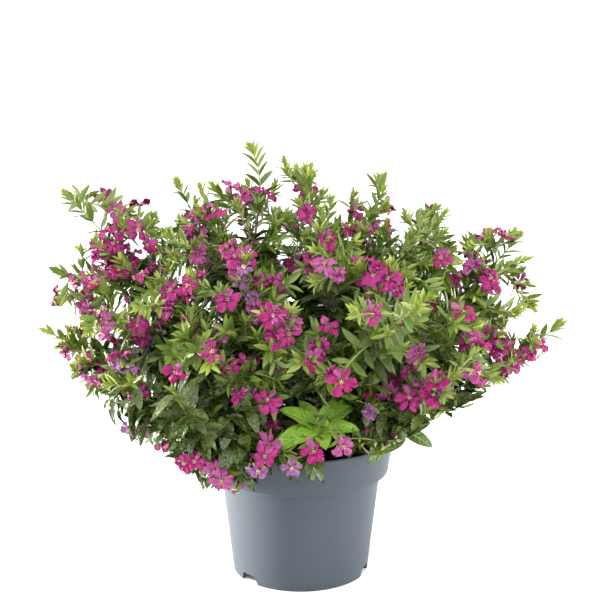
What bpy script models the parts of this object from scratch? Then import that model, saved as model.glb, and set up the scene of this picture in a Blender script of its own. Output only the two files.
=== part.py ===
"""A flowering cuphea shrub in its nursery pot, as separate solids.

Metres, +Z up. The origin is the centre of the pot's foot, on the plane it stands on.
The side that faces -Y is the front. A bearing is counted from the front towards +X,
and a rise is counted up from the horizontal, both in degrees.
"""

import math
import random

import bmesh
import bpy
import numpy as np
from mathutils.bvhtree import BVHTree

# Pot: a thin tapered plastic wall with a stepped rim band
POT_HEIGHT = 0.0989
RIM_RADIUS = 0.0650
RIM_FOOT_RADIUS = 0.0612
RIM_STEP_HEIGHT = 0.0732
BODY_TOP_RADIUS = 0.0555
FOOT_RADIUS = 0.0472
WALL = 0.0015
FOOT_WALL = 0.0024
FLOOR_UNDERSIDE = 0.0055
FLOOR_THICKNESS = 0.0018
POT_SIDES = 44
ARCH_BEARINGS = (-48.5, 71.5, 191.5)
ARCH_ANGLE = 24.0
ARCH_HEIGHT = 0.0048

# Potting soil, filled to a little below the rim
SOIL_TOP = 0.0870
SOIL_CROWN = 0.0020
SOIL_SIDES = 36

CLEARANCE = 0.0003
GOLDEN_ANGLE = math.pi * (3.0 - math.sqrt(5.0))

# Three rooted stems
STEM_BEARINGS = (60.0, 180.0, 300.0)
STEM_FOOT_OFFSET = 0.0110
STEM_TOP_OFFSET = 0.0175
STEM_TOP = 0.1130
STEM_FOOT_RADIUS = 0.0026
STEM_TOP_RADIUS = 0.0019
STEM_FLARE = 1.35
LIMB_SIDES = 5

# Boughs, one to each mass of foliage
BOUGH_BASE_RADIUS = 0.00135
BOUGH_TIP_RADIUS = 0.00100
BOUGH_STEPS = 5
FORK_SPACING = 0.0041
LOWEST_FORK = 0.0925

# Crown: rings of masses round a hub near the soil, each ring a rise and its bearings
HUB = np.array((0.0, 0.0, 0.080))
LOWER_RING = (18.0, (42.0, 85.0, 130.0, 180.0, 230.0, 275.0, 322.0))
UPPER_RING = (45.0, (30.0, 90.0, 150.0, 210.0, 270.0, 330.0))
TOP_RING = (74.0, (60.0, 180.0, 300.0))
MASS_START = {"lower": 0.082, "upper": 0.068, "top": 0.064}
CROWN_DEPTH = 0.82
HALF_WIDTH = 0.1835
HALF_DEPTH = 0.1500
CROWN_TOP = 0.3025
ENVELOPE_RISE = (-20.0, 0.0, 10.0, 18.0, 26.0, 38.0, 50.0, 65.0, 90.0)
ENVELOPE_REACH = (0.085, 0.102, 0.132, 0.160, 0.188, 0.200, 0.206, 0.200, 0.194)
# Stretch of bearings below a rise where no shoot grows, so the soil shows at the front
FRONT_GAP = (-18.0, 28.0, 33.0)
SHOOT_COUNT = 62
LOWEST_RISE = 3.0
LEAD_SPACING = 12.0
MASS_GAP = 0.0004
TIP_ROOM = 0.004

# Leading shoots that stand out of the crown: bearing, rise and reach from the hub
LEADING_SHOOTS = (
    (-95.0, 80.0, 0.2262),
    (150.0, 84.0, 0.2060),
    (85.0, 71.0, 0.2110),
    (72.0, 59.0, 0.2110),
    (96.0, 46.0, 0.2200),
    (80.0, 41.0, 0.2240),
    (90.0, 28.0, 0.2090),
    (-100.0, 66.0, 0.2180),
    (-68.0, 70.0, 0.2120),
    (-84.0, 49.0, 0.2520),
    (-95.0, 37.0, 0.2210),
    (-88.0, 26.0, 0.2060),
    (-65.0, 19.0, 0.1800),
    (-46.0, 10.0, 0.1330),
    (-34.0, 4.0, 0.1130),
    (52.0, 17.0, 0.1420),
    (22.0, 38.0, 0.2350),
    (178.0, 24.0, 0.2000),
)

# Dense leafy heart of each mass, on its axis: distance from the hub, half length, half width
CORES = {"lower": (0.116, 0.019, 0.024), "upper": (0.118, 0.021, 0.025), "top": (0.122, 0.022, 0.024)}
CORE_MARGIN = 0.0015
CORE_ROUGHNESS = 0.12
CORE_LEAVES = 13
CORE_SINK = 0.0020
CORE_LEANS = (0.1, 0.6, 1.2, 2.0)
CORE_LEAF_LENGTH = 0.0420
CORE_LEAF_WIDTH = 0.0165
CORE_FLOWERS = 2
CORE_LEAST_REACH = 0.010
CORE_REACH_STEP = 0.001
CORE_POT_ROOM = 0.004
ROSETTE_ROOM = 0.034

# Foliage
TWIG_RADIUS = 0.0016
SIDE_TWIG_RADIUS = 0.0012
TWIG_TIP_RADIUS = 0.0009
TWIG_SIDES = 4
LEAD_PAIRS = (0.10, 0.52, 0.68, 0.84, 0.96)
SIDE_PAIRS = (0.40, 0.66, 0.92)
LEAD_FLOWERS = (0.76,)
SIDE_FLOWER = 0.80
LEAF_LENGTH = 0.0310
LEAF_WIDTH = 0.0120
BROAD_LEAF_LENGTH = 0.0360
BROAD_LEAF_WIDTH = 0.0150
LEAF_BROADEST = 0.46
LEAF_ARCH = 0.042
LEAF_ROOT = 0.0003
FLOWER_RADIUS = 0.0100
FLOWER_THICKNESS = 0.0022
FLOWER_STALK = 0.0075
CORE_FLOWER_STALK = 0.0260
STALK_RADIUS = 0.0006
STALK_SIDES = 3
PETALS = 6
PETAL_SLOT = 1
LIMB_MARGIN = 0.0012
POT_MARGIN = 0.0015
GROWTH_SEED = 41
LEAF_SEED = 7

# Young basal shoot that opens in a rosette of broad leaves at the front
ROSETTE_CENTRE = np.array((0.0125, -0.0660, 0.1215))
ROSETTE_FOOT = np.array((0.0090, -0.0300, SOIL_TOP + 0.0012))
ROSETTE_LEAVES = 7
ROSETTE_LEAF_LENGTH = 0.0300
ROSETTE_LEAF_WIDTH = 0.0120
ROSETTE_PAIR_GAP = 0.0013
ROSETTE_TWIG_RADIUS = 0.0015


def clear_scene():
    for item in list(bpy.data.objects):
        bpy.data.objects.remove(item, do_unlink=True)


def finish_material(name, colour, roughness):
    material = bpy.data.materials.new(name)
    material.use_nodes = True
    shader = material.node_tree.nodes["Principled BSDF"]
    shader.inputs["Base Color"].default_value = (*colour, 1.0)
    shader.inputs["Roughness"].default_value = roughness
    shader.inputs["Metallic"].default_value = 0.0
    return material


def add_object(name, mesh, materials, smooth_angle=None):
    item = bpy.data.objects.new(name, mesh)
    bpy.context.scene.collection.objects.link(item)
    mesh.materials.clear()
    for material in materials:
        mesh.materials.append(material)
    if smooth_angle is not None:
        mesh.shade_smooth()
        mesh.set_sharp_from_angle(angle=math.radians(smooth_angle))
    return item


def mesh_from_bmesh(name, bm):
    mesh = bpy.data.meshes.new(name)
    bm.to_mesh(mesh)
    bm.free()
    return mesh


def unit(vector):
    return vector / np.linalg.norm(vector)


def heading(bearing, rise):
    b = math.radians(bearing)
    r = math.radians(rise)
    return np.array((math.sin(b) * math.cos(r), -math.cos(b) * math.cos(r), math.sin(r)))


def curve_points(start, first, second, end, steps):
    points = []
    for step in range(steps + 1):
        t = step / steps
        s = 1.0 - t
        points.append(s**3 * start + 3 * s * s * t * first + 3 * s * t * t * second + t**3 * end)
    return points


def turned_solid(name, profile, sides):
    """A closed profile of (radius, height) corners, turned once round the Z axis."""
    bm = bmesh.new()
    verts = [bm.verts.new((radius, 0.0, height)) for radius, height in profile]
    edges = [bm.edges.new((verts[i], verts[i + 1])) for i in range(len(verts) - 1)]
    bmesh.ops.spin(
        bm,
        geom=verts + edges,
        cent=(0.0, 0.0, 0.0),
        axis=(0.0, 0.0, 1.0),
        angle=math.tau,
        steps=sides,
        use_merge=True,
        use_duplicate=False,
    )
    bmesh.ops.remove_doubles(bm, verts=bm.verts[:], dist=1e-6)
    bmesh.ops.recalc_face_normals(bm, faces=bm.faces[:])
    return mesh_from_bmesh(name, bm)


def ring_frame(direction, lean):
    side = lean - direction * float(np.dot(lean, direction))
    if np.linalg.norm(side) < 1e-6:
        side = np.cross(direction, (1.0, 0.0, 0.0))
    side = unit(side)
    return side, np.cross(direction, side)


def path_frames(points, foot_course=None):
    """Two crosswise directions at each point of a path, carried along it without a twist."""
    lean = np.array((0.31, 0.17, 0.93))
    if abs(np.dot(unit(points[-1] - points[0]), unit(lean))) > 0.9:
        lean = np.array((0.93, 0.31, 0.17))
    frames = []
    for i in range(len(points)):
        course = points[min(i + 1, len(points) - 1)] - points[max(i - 1, 0)]
        if i == 0 and foot_course is not None:
            course = foot_course
        side, other = ring_frame(unit(course), lean)
        lean = side
        frames.append((side, other))
    return frames


def limb_mesh(name, points, radii, sides, foot_course=None):
    """A closed tapering tube along the points, with flat cuts at both ends."""
    bm = bmesh.new()
    rings = []
    for point, radius, (side, other) in zip(points, radii, path_frames(points, foot_course)):
        ring = []
        for k in range(sides):
            turn = math.tau * (k + 0.5) / sides
            ring.append(bm.verts.new(point + radius * (math.cos(turn) * side + math.sin(turn) * other)))
        rings.append(ring)
    for low, high in zip(rings, rings[1:]):
        for k in range(sides):
            bm.faces.new((low[k], low[(k + 1) % sides], high[(k + 1) % sides], high[k]))
    bm.faces.new(list(reversed(rings[0])))
    bm.faces.new(rings[-1])
    bmesh.ops.recalc_face_normals(bm, faces=bm.faces[:])
    return mesh_from_bmesh(name, bm)


def taper(start, end, count):
    return [start + (end - start) * i / (count - 1) for i in range(count)]


def make_pot(material):
    inner_step = RIM_STEP_HEIGHT + WALL
    floor_top = FLOOR_UNDERSIDE + FLOOR_THICKNESS
    profile = [
        (0.0, FLOOR_UNDERSIDE),
        (FOOT_RADIUS - FOOT_WALL, FLOOR_UNDERSIDE),
        (FOOT_RADIUS - FOOT_WALL, 0.0),
        (FOOT_RADIUS, 0.0),
        (BODY_TOP_RADIUS, RIM_STEP_HEIGHT),
        (RIM_FOOT_RADIUS, RIM_STEP_HEIGHT),
        (RIM_RADIUS, POT_HEIGHT),
        (RIM_RADIUS - WALL, POT_HEIGHT),
        (RIM_FOOT_RADIUS - WALL, inner_step),
        (BODY_TOP_RADIUS - WALL, inner_step),
        (FOOT_RADIUS - WALL, floor_top),
        (0.0, floor_top),
    ]
    pot = add_object("pot", turned_solid("pot", profile, POT_SIDES), [material], 30.0)
    cutters = [foot_arch(bearing) for bearing in ARCH_BEARINGS]
    for cutter in cutters:
        cut = pot.modifiers.new("foot arch", "BOOLEAN")
        cut.operation = "DIFFERENCE"
        cut.solver = "EXACT"
        cut.object = cutter
    return pot


def foot_arch(bearing):
    """A wedge with sloping ends that cuts one arch through the foot ring."""
    inner = FOOT_RADIUS - 2.2 * FOOT_WALL
    outer = FOOT_RADIUS + FOOT_WALL
    bm = bmesh.new()
    rings = []
    for height, share in ((-0.002, 1.12), (ARCH_HEIGHT * 0.55, 0.94), (ARCH_HEIGHT, 0.62)):
        half = math.radians(ARCH_ANGLE * share / 2)
        ring = []
        for radius, turn in ((inner, -half), (outer, -half), (outer, half), (inner, half)):
            angle = math.radians(bearing) + turn
            ring.append(bm.verts.new((radius * math.sin(angle), -radius * math.cos(angle), height)))
        rings.append(ring)
    for low, high in zip(rings, rings[1:]):
        for k in range(4):
            bm.faces.new((low[k], low[(k + 1) % 4], high[(k + 1) % 4], high[k]))
    bm.faces.new(list(reversed(rings[0])))
    bm.faces.new(rings[-1])
    bmesh.ops.recalc_face_normals(bm, faces=bm.faces[:])
    cutter = bpy.data.objects.new("foot_arch_cutter", mesh_from_bmesh("foot_arch_cutter", bm))
    bpy.context.scene.collection.objects.link(cutter)
    cutter.hide_render = True
    cutter.display_type = "WIRE"
    return cutter


def make_soil(material):
    step = RIM_STEP_HEIGHT + WALL + CLEARANCE
    slope = (BODY_TOP_RADIUS - FOOT_RADIUS) / RIM_STEP_HEIGHT
    floor = FLOOR_UNDERSIDE + FLOOR_THICKNESS + CLEARANCE
    gap = WALL + 2 * CLEARANCE
    rim_slope = (RIM_RADIUS - RIM_FOOT_RADIUS) / (POT_HEIGHT - RIM_STEP_HEIGHT)
    top_radius = RIM_FOOT_RADIUS - gap + rim_slope * (SOIL_TOP - SOIL_CROWN - step)
    profile = [
        (0.0, floor),
        (FOOT_RADIUS - gap, floor),
        (FOOT_RADIUS - gap + slope * (step - floor), step),
        (RIM_FOOT_RADIUS - gap, step),
        (top_radius, SOIL_TOP - SOIL_CROWN),
        (top_radius * 0.62, SOIL_TOP - SOIL_CROWN * 0.2),
        (0.0, SOIL_TOP),
    ]
    return add_object("potting_soil", turned_solid("potting_soil", profile, SOIL_SIDES), [material], 30.0)


def stem_axis(bearing):
    outward = heading(bearing, 0.0)
    foot = outward * STEM_FOOT_OFFSET + np.array((0.0, 0.0, SOIL_TOP + CLEARANCE))
    top = outward * STEM_TOP_OFFSET + np.array((0.0, 0.0, STEM_TOP))
    return foot, top


def stem_radius(share):
    return STEM_FOOT_RADIUS + (STEM_TOP_RADIUS - STEM_FOOT_RADIUS) * share


def make_stems(material):
    stems = []
    for number, bearing in enumerate(STEM_BEARINGS, 1):
        foot, top = stem_axis(bearing)
        shares = (0.0, 0.12, 0.5, 1.0)
        points = [foot + (top - foot) * share for share in shares]
        radii = [stem_radius(share) for share in shares]
        radii[0] *= STEM_FLARE
        name = f"stem_{number}"
        upright = np.array((0.0, 0.0, 1.0))
        mesh = limb_mesh(name, points, radii, LIMB_SIDES, foot_course=upright)
        stems.append(add_object(name, mesh, [material], 60.0))
    return stems


def angle_apart(first, second):
    return abs((first - second + 180.0) % 360.0 - 180.0)


def mass_plan():
    """Name, ring, axis and start point of every mass of foliage."""
    plan = []
    for ring, (rise, bearings) in (("lower", LOWER_RING), ("upper", UPPER_RING), ("top", TOP_RING)):
        for number, bearing in enumerate(bearings, 1):
            axis = heading(bearing, rise)
            start = HUB + MASS_START[ring] * axis
            plan.append(
                {"name": f"{ring}_{number}", "ring": ring, "bearing": bearing, "axis": axis, "start": start}
            )
    return plan


def bough_paths(plan):
    """Adds to each mass the path of its bough, from a fork on the nearest stem."""
    for stem_bearing in STEM_BEARINGS:
        foot, top = stem_axis(stem_bearing)
        lift = unit(top - foot)
        carried = [
            mass
            for mass in plan
            if min(STEM_BEARINGS, key=lambda b: angle_apart(b, mass["bearing"])) == stem_bearing
        ]
        side_forks = [mass for mass in carried if mass["ring"] != "top"]
        for level, mass in enumerate(side_forks):
            height = LOWEST_FORK + FORK_SPACING * level
            share = (height - foot[2]) / (top[2] - foot[2])
            outward = heading(mass["bearing"], 0.0)
            outward = unit(outward - lift * float(np.dot(outward, lift)))
            root = foot + (top - foot) * share + outward * (stem_radius(share) + CLEARANCE)
            mass["bough"] = bough_curve(root, outward, mass)
        for mass in carried:
            if mass["ring"] == "top":
                mass["bough"] = bough_curve(top + lift * CLEARANCE, lift, mass)


def bough_curve(root, leaving, mass):
    length = np.linalg.norm(mass["start"] - root)
    first = root + leaving * length * 0.32
    second = mass["start"] - mass["axis"] * length * 0.36
    return curve_points(root, first, second, mass["start"], BOUGH_STEPS)


def make_boughs(plan, material):
    radii = taper(BOUGH_BASE_RADIUS, BOUGH_TIP_RADIUS, BOUGH_STEPS + 1)
    for mass in plan:
        name = "bough_" + mass["name"]
        add_object(name, limb_mesh(name, mass["bough"], radii, LIMB_SIDES), [material], 60.0)


def to_crown(offset):
    """A point of the round crown, with the crown's depth taken in from front to back."""
    return HUB + offset * np.array((1.0, CROWN_DEPTH, 1.0))


def from_crown(point):
    return (point - HUB) / np.array((1.0, CROWN_DEPTH, 1.0))


def keep_in_box(point):
    low = np.array((-HALF_WIDTH, -HALF_DEPTH, 0.0))
    high = np.array((HALF_WIDTH, HALF_DEPTH, CROWN_TOP))
    return np.minimum(np.maximum(point, low), high)


def shoot_targets(rng):
    """The tips of all the shoots: the leading ones, and between them an even spiral of others."""
    leads = [heading(bearing, rise) for bearing, rise, reach in LEADING_SHOOTS]
    tips = [reach * heading(bearing, rise) for bearing, rise, reach in LEADING_SHOOTS]
    targets = [keep_in_box(HUB + tip) for tip in tips]
    low = math.sin(math.radians(LOWEST_RISE))
    for i in range(SHOOT_COUNT):
        height = 1.0 - (1.0 - low) * (i + 0.5) / SHOOT_COUNT
        rise = math.degrees(math.asin(height))
        bearing = math.degrees(i * GOLDEN_ANGLE) % 360.0 - 180.0
        reach = float(np.interp(rise, ENVELOPE_RISE, ENVELOPE_REACH)) * rng.uniform(0.86, 1.0)
        if FRONT_GAP[0] < bearing < FRONT_GAP[1] and rise < FRONT_GAP[2]:
            continue
        direction = heading(bearing, rise)
        if max(float(np.dot(direction, lead)) for lead in leads) > math.cos(math.radians(LEAD_SPACING)):
            continue
        targets.append(keep_in_box(to_crown(direction * reach)))
    return targets


def cell_planes(plan):
    """For each mass, the inward normals of the planes through the hub that bound its space."""
    for mass in plan:
        normals = []
        for other in plan:
            if other is not mass:
                normals.append(unit(mass["axis"] - other["axis"]))
        mass["planes"] = np.array(normals)


def room_in_cell(mass, points):
    """The least distance of the points from the bounds of the mass's space."""
    local = np.array([from_crown(point) for point in points])
    return float((local @ mass["planes"].T).min()) * CROWN_DEPTH


def grow_shoots(plan):
    """Gives each mass its lead shoot and the side shoots that branch from it."""
    rng = random.Random(GROWTH_SEED)
    cell_planes(plan)
    for mass in plan:
        mass["targets"] = []
    for target in shoot_targets(rng):
        direction = unit(from_crown(target))
        owner = max(plan, key=lambda mass: float(np.dot(direction, mass["axis"])))
        if room_in_cell(owner, [target]) > TIP_ROOM:
            owner["targets"].append(target)
    for mass in plan:
        mass["shoots"] = []
        targets = mass["targets"]
        targets.sort(key=lambda target: -float(np.dot(unit(from_crown(target)), mass["axis"])))
        lead = shoot_curve(mass["start"] + mass["axis"] * CLEARANCE, mass["axis"], targets[0], rng, 6)
        mass["shoots"].append(lead)
        widest = max(angle_from(mass, target) for target in targets)
        for target in targets[1:]:
            share = 0.10 + 0.60 * (1.0 - angle_from(mass, target) / widest)
            root, along, step = point_on(lead, share)
            leaving = unit(along + unit(target - root))
            mass["shoots"].append(shoot_curve(root, leaving, target, rng, 3))


def angle_from(mass, target):
    return math.acos(min(1.0, float(np.dot(unit(from_crown(target)), mass["axis"]))))


def shoot_curve(root, leaving, target, rng, steps):
    """A twig from the root to the target that ends on a wayward, slightly rising course."""
    length = np.linalg.norm(target - root)
    drift = np.array([rng.uniform(-1.0, 1.0) for axis in range(3)])
    arriving = unit(unit(target - HUB) + 0.30 * drift + np.array((0.0, 0.0, 0.15)))
    first = root + leaving * length * 0.36
    second = target - arriving * length * 0.30
    return curve_points(root, first, second, target, steps)


def point_on(path, share):
    """The point, course and step at a share of the path's length."""
    left = share * path_length(path)
    for step, (a, b) in enumerate(zip(path, path[1:])):
        length = float(np.linalg.norm(b - a))
        if left <= length:
            return a + (b - a) * left / length, unit(b - a), step
        left -= length
    return path[-1], unit(path[-1] - path[-2]), len(path) - 2


def segments_apart(p1, q1, p2, q2):
    """The least distance between two straight segments."""
    d1 = q1 - p1
    d2 = q2 - p2
    r = p1 - p2
    a = float(d1 @ d1)
    e = float(d2 @ d2)
    f = float(d2 @ r)
    b = float(d1 @ d2)
    c = float(d1 @ r)
    spread = a * e - b * b
    s = min(1.0, max(0.0, (b * f - c * e) / spread)) if spread > 1e-18 else 0.0
    t = (b * s + f) / e
    if t < 0.0:
        t = 0.0
        s = min(1.0, max(0.0, -c / a))
    elif t > 1.0:
        t = 1.0
        s = min(1.0, max(0.0, (b - c) / a))
    return float(np.linalg.norm(p1 + d1 * s - p2 - d2 * t))


def limb_segments(plan):
    """Every stretch of stem and bough, with its radius."""
    stretches = []
    for bearing in STEM_BEARINGS:
        foot, top = stem_axis(bearing)
        stretches.append((foot, top, STEM_FOOT_RADIUS, "stem"))
    for mass in plan:
        for a, b in zip(mass["bough"], mass["bough"][1:]):
            stretches.append((a, b, BOUGH_BASE_RADIUS, mass["name"]))
    stretches.append((ROSETTE_FOOT, ROSETTE_CENTRE, ROSETTE_TWIG_RADIUS, "rosette"))
    return stretches


def clear_of_limbs(stretches, root, tip, half_width, owner):
    for a, b, radius, name in stretches:
        if name == owner:
            continue
        if segments_apart(root, tip, a, b) < radius + half_width + LIMB_MARGIN:
            return False
    return True


def clear_of_pot(points):
    for x, y, z in points:
        radius = math.hypot(x, y)
        by_rim = RIM_RADIUS - WALL - 2 * POT_MARGIN < radius < RIM_RADIUS + POT_MARGIN
        if z < POT_HEIGHT + POT_MARGIN and by_rim:
            return False
        if z < SOIL_TOP + POT_MARGIN and radius <= RIM_RADIUS:
            return False
    return True


def in_reach(points):
    for x, y, z in points:
        if abs(x) > HALF_WIDTH or abs(y) > HALF_DEPTH or z > CROWN_TOP:
            return False
    return True


def between(points, others, shares=(0.25, 0.5, 0.75)):
    return [a + (b - a) * share for a in points for b in others for share in shares]


def leaf_corners(root, direction, upward, length, width):
    """The four corners of an arched leaf, whose straight keel runs under it from root to tip."""
    side = unit(np.cross(direction, upward))
    middle = root + direction * length * LEAF_BROADEST + upward * length * LEAF_ARCH
    return [
        root,
        root + direction * length,
        middle + side * width / 2,
        middle - side * width / 2,
    ]


def leaf_mesh(corners):
    bm = bmesh.new()
    root, tip, left, right = [bm.verts.new(corner) for corner in corners]
    for face in ((root, left, right), (tip, right, left), (root, tip, left), (tip, root, right)):
        bm.faces.new(face)
    bmesh.ops.recalc_face_normals(bm, faces=bm.faces[:])
    return mesh_from_bmesh("leaf", bm)


def flower_corners(centre, facing):
    """The corners of a six-petalled bloom: its raised eye, and petal tips with notches between."""
    side, other = ring_frame(facing, np.array((0.0, 0.0, 1.0)))
    corners = [centre + facing * FLOWER_THICKNESS]
    for k in range(2 * PETALS):
        radius = FLOWER_RADIUS if k % 2 == 0 else FLOWER_RADIUS * 0.52
        turn = math.tau * k / (2 * PETALS)
        corners.append(centre + radius * (math.cos(turn) * side + math.sin(turn) * other))
    return corners


def flower_mesh(corners):
    bm = bmesh.new()
    verts = [bm.verts.new(corner) for corner in corners]
    eye, rim = verts[0], verts[1:]
    for here, after in zip(rim, rim[1:] + rim[:1]):
        bm.faces.new((eye, here, after))
    bm.faces.new(list(reversed(rim)))
    for face in bm.faces:
        face.material_index = PETAL_SLOT
    bmesh.ops.recalc_face_normals(bm, faces=bm.faces[:])
    return mesh_from_bmesh("flower", bm)


def core_reach(mass, direction):
    """How far the dense heart of a mass reaches from its own centre, inside its space."""
    distance, half_length, half_width = CORES[mass["ring"]]
    centre = mass["axis"] * distance
    along = float(np.dot(direction, mass["axis"]))
    across = math.sqrt(max(0.0, 1.0 - along * along))
    reach = 1.0 / math.hypot(along / half_length, across / half_width)
    for normal in mass["planes"]:
        slope = float(np.dot(normal, direction))
        if slope < 0.0:
            reach = min(reach, (float(np.dot(normal, centre)) - CORE_MARGIN) / -slope)
    while reach > CORE_LEAST_REACH and not core_point_free(to_crown(centre + direction * reach)):
        reach -= CORE_REACH_STEP
    return reach


def core_point_free(point):
    if np.linalg.norm(point - ROSETTE_CENTRE) < ROSETTE_ROOM:
        return False
    return clear_of_pot([point, point - np.array((0.0, 0.0, CORE_POT_ROOM))])


def core_centre(mass):
    return to_crown(mass["axis"] * CORES[mass["ring"]][0])


def inside_core(mass, point):
    offset = from_crown(point) - mass["axis"] * CORES[mass["ring"]][0]
    distance = float(np.linalg.norm(offset))
    return distance < core_reach(mass, offset / distance)


def core_mesh(mass, rng):
    """A rough many-sided lump, and a search tree of its surface."""
    centre = mass["axis"] * CORES[mass["ring"]][0]
    bm = bmesh.new()
    bmesh.ops.create_icosphere(bm, subdivisions=1, radius=1.0)
    for vert in bm.verts:
        direction = unit(np.array(vert.co))
        reach = core_reach(mass, direction) * (1.0 - rng.uniform(0.0, CORE_ROUGHNESS))
        vert.co = to_crown(centre + direction * reach)
    bmesh.ops.recalc_face_normals(bm, faces=bm.faces[:])
    surface = BVHTree.FromBMesh(bm)
    return mesh_from_bmesh("core", bm), surface


def core_root(mass, surface, outward):
    """A point just under the surface of the dense heart, on a line from its centre."""
    centre = core_centre(mass)
    hit = surface.ray_cast(tuple(centre), tuple(outward))[0]
    return np.array(hit) - unit(outward) * CORE_SINK


def core_leaves(mass, surface, rng, stretches):
    """Leaves that stand out of the dense heart, spread evenly over it by a spiral."""
    pieces = []
    side, other = ring_frame(mass["axis"], np.array((0.0, 0.0, 1.0)))
    for k in range(CORE_LEAVES):
        along = 0.95 - 1.45 * (k + 0.5) / CORE_LEAVES
        across = math.sqrt(1.0 - along * along)
        spoke = math.cos(GOLDEN_ANGLE * k) * side + math.sin(GOLDEN_ANGLE * k) * other
        outward = along * mass["axis"] + across * spoke
        root = core_root(mass, surface, outward)
        drift = np.array([rng.uniform(-1.0, 1.0) for axis in range(3)])
        length = CORE_LEAF_LENGTH * rng.uniform(0.85, 1.1)
        for lean in CORE_LEANS:
            direction = unit(outward + 0.22 * drift + lean * mass["axis"])
            upward, crosswise = ring_frame(direction, -outward)
            corners = leaf_corners(root, direction, -upward, length, CORE_LEAF_WIDTH)
            if leaf_fits(mass, corners, CORE_LEAF_WIDTH, stretches):
                pieces.append(leaf_mesh(corners))
                break
    return pieces


def twig_fits(mass, path, radius, stretches):
    if room_in_cell(mass, path) < radius + MASS_GAP:
        return False
    if not in_reach(path[:-1]) or not clear_of_pot(path):
        return False
    pairs = list(zip(path, path[1:]))
    return all(clear_of_limbs(stretches, a, b, radius, mass["name"]) for a, b in pairs)


def leaf_fits(mass, corners, width, stretches):
    if room_in_cell(mass, corners) < MASS_GAP:
        return False
    samples = corners + between(corners[:1], corners[1:2]) + between(corners[2:4], corners[:2])
    if not clear_of_pot(samples) or not in_reach(corners):
        return False
    return clear_of_limbs(stretches, corners[0], corners[1], width / 2, mass["name"])


def twig_leaves(mass, wood, pair_shares, sizes, rng, stretches):
    """Opposite leaves in crossed pairs, each springing from the middle of a side of the twig."""
    pieces = []
    frames = path_frames(wood)
    for number, share in enumerate(pair_shares):
        node, along, step = point_on(wood, share)
        if inside_core(mass, node):
            continue
        side, other = ring_frame(along, frames[step][0] + frames[step + 1][0])
        length, width, spread = sizes(share)
        across = side if number % 2 == 0 else other
        for sign in (1.0, -1.0):
            angle = math.radians(spread + rng.uniform(-8.0, 8.0))
            direction = along * math.cos(angle) + across * sign * math.sin(angle)
            upward = along * math.sin(angle) - across * sign * math.cos(angle)
            long = length * rng.uniform(0.88, 1.12)
            root = node + direction * LEAF_ROOT
            corners = leaf_corners(root, direction, upward, long, width)
            if leaf_fits(mass, corners, width, stretches):
                pieces.append(leaf_mesh(corners))
    return pieces


def tip_leaf(path, length, width, rng):
    """The leaf that carries a twig on to its very tip."""
    direction = unit(path[-1] - path[-2])
    roll = np.array((rng.uniform(-1, 1), rng.uniform(-1, 1), rng.uniform(-1, 1)))
    upward, other = ring_frame(direction, roll)
    return leaf_corners(path[-1] - direction * length, direction, upward, length, width)


def flower_on(mass, path, share, rng, stretches):
    """A bloom beside a twig, facing away from the crown."""
    node, along, step = point_on(path, share)
    if inside_core(mass, node):
        return []
    drift = np.array((rng.uniform(-1, 1), rng.uniform(-1, 1), rng.uniform(-0.5, 0.7)))
    side = drift - along * float(np.dot(drift, along))
    facing = unit(unit(node - HUB) * 0.9 + unit(side) * 0.8)
    return bloom(mass, node, facing, FLOWER_STALK, stretches)


def core_flowers(mass, surface, rng, stretches):
    """Blooms on longer stalks that stand out of the dense heart."""
    pieces = []
    for k in range(CORE_FLOWERS):
        drift = np.array([rng.uniform(-1.0, 1.0) for axis in range(3)])
        facing = unit(mass["axis"] + 0.55 * drift)
        root = core_root(mass, surface, facing)
        pieces += bloom(mass, root, facing, CORE_FLOWER_STALK, stretches)
    return pieces


def bloom(mass, node, facing, stalk_length, stretches):
    centre = node + facing * stalk_length
    corners = flower_corners(centre, facing)
    if room_in_cell(mass, corners) < MASS_GAP or not in_reach(corners):
        return []
    if not clear_of_pot(corners) or not clear_of_limbs(stretches, node, centre, FLOWER_RADIUS, mass["name"]):
        return []
    stalk = [node, centre + facing * FLOWER_THICKNESS * 0.4]
    return [flower_mesh(corners), limb_mesh("stalk", stalk, [STALK_RADIUS] * 2, STALK_SIDES)]


def main_body(mesh):
    """Keeps the largest closed body of a mesh, so loose scraps and sealed hollows go."""
    bm = bmesh.new()
    bm.from_mesh(mesh)
    left = set(bm.faces)
    islands = []
    while left:
        seed = left.pop()
        island = {seed}
        queue = [seed]
        while queue:
            face = queue.pop()
            for edge in face.edges:
                for near in edge.link_faces:
                    if near in left:
                        left.discard(near)
                        island.add(near)
                        queue.append(near)
        islands.append(island)
    largest = max(islands, key=len)
    scraps = [face for island in islands if island is not largest for face in island]
    bmesh.ops.delete(bm, geom=scraps, context="FACES")
    bmesh.ops.triangulate(bm, faces=bm.faces[:])
    bm.to_mesh(mesh)
    bm.free()


def fuse(name, base, others, materials):
    """One solid from a base mesh and the meshes that grow out of it."""
    item = add_object(name, base, materials)
    collection = bpy.data.collections.new(name + "_parts")
    bpy.context.scene.collection.children.link(collection)
    for mesh in others:
        for material in materials:
            mesh.materials.append(material)
        collection.objects.link(bpy.data.objects.new("growth", mesh))
    union = item.modifiers.new("growth", "BOOLEAN")
    union.operation = "UNION"
    union.operand_type = "COLLECTION"
    union.solver = "EXACT"
    union.collection = collection
    graph = bpy.context.evaluated_depsgraph_get()
    fused = bpy.data.meshes.new_from_object(item.evaluated_get(graph))
    item.modifiers.clear()
    item.data = fused
    for part in list(collection.objects):
        bpy.data.objects.remove(part, do_unlink=True)
    bpy.data.collections.remove(collection)
    main_body(fused)
    return item


def lead_leaf_size(share):
    """Length, width and spread of a leaf at a share of the lead twig: broad old ones low down."""
    if share < 0.3:
        return BROAD_LEAF_LENGTH, BROAD_LEAF_WIDTH, 66.0
    return LEAF_LENGTH, LEAF_WIDTH, 62.0 - 22.0 * share


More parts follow.
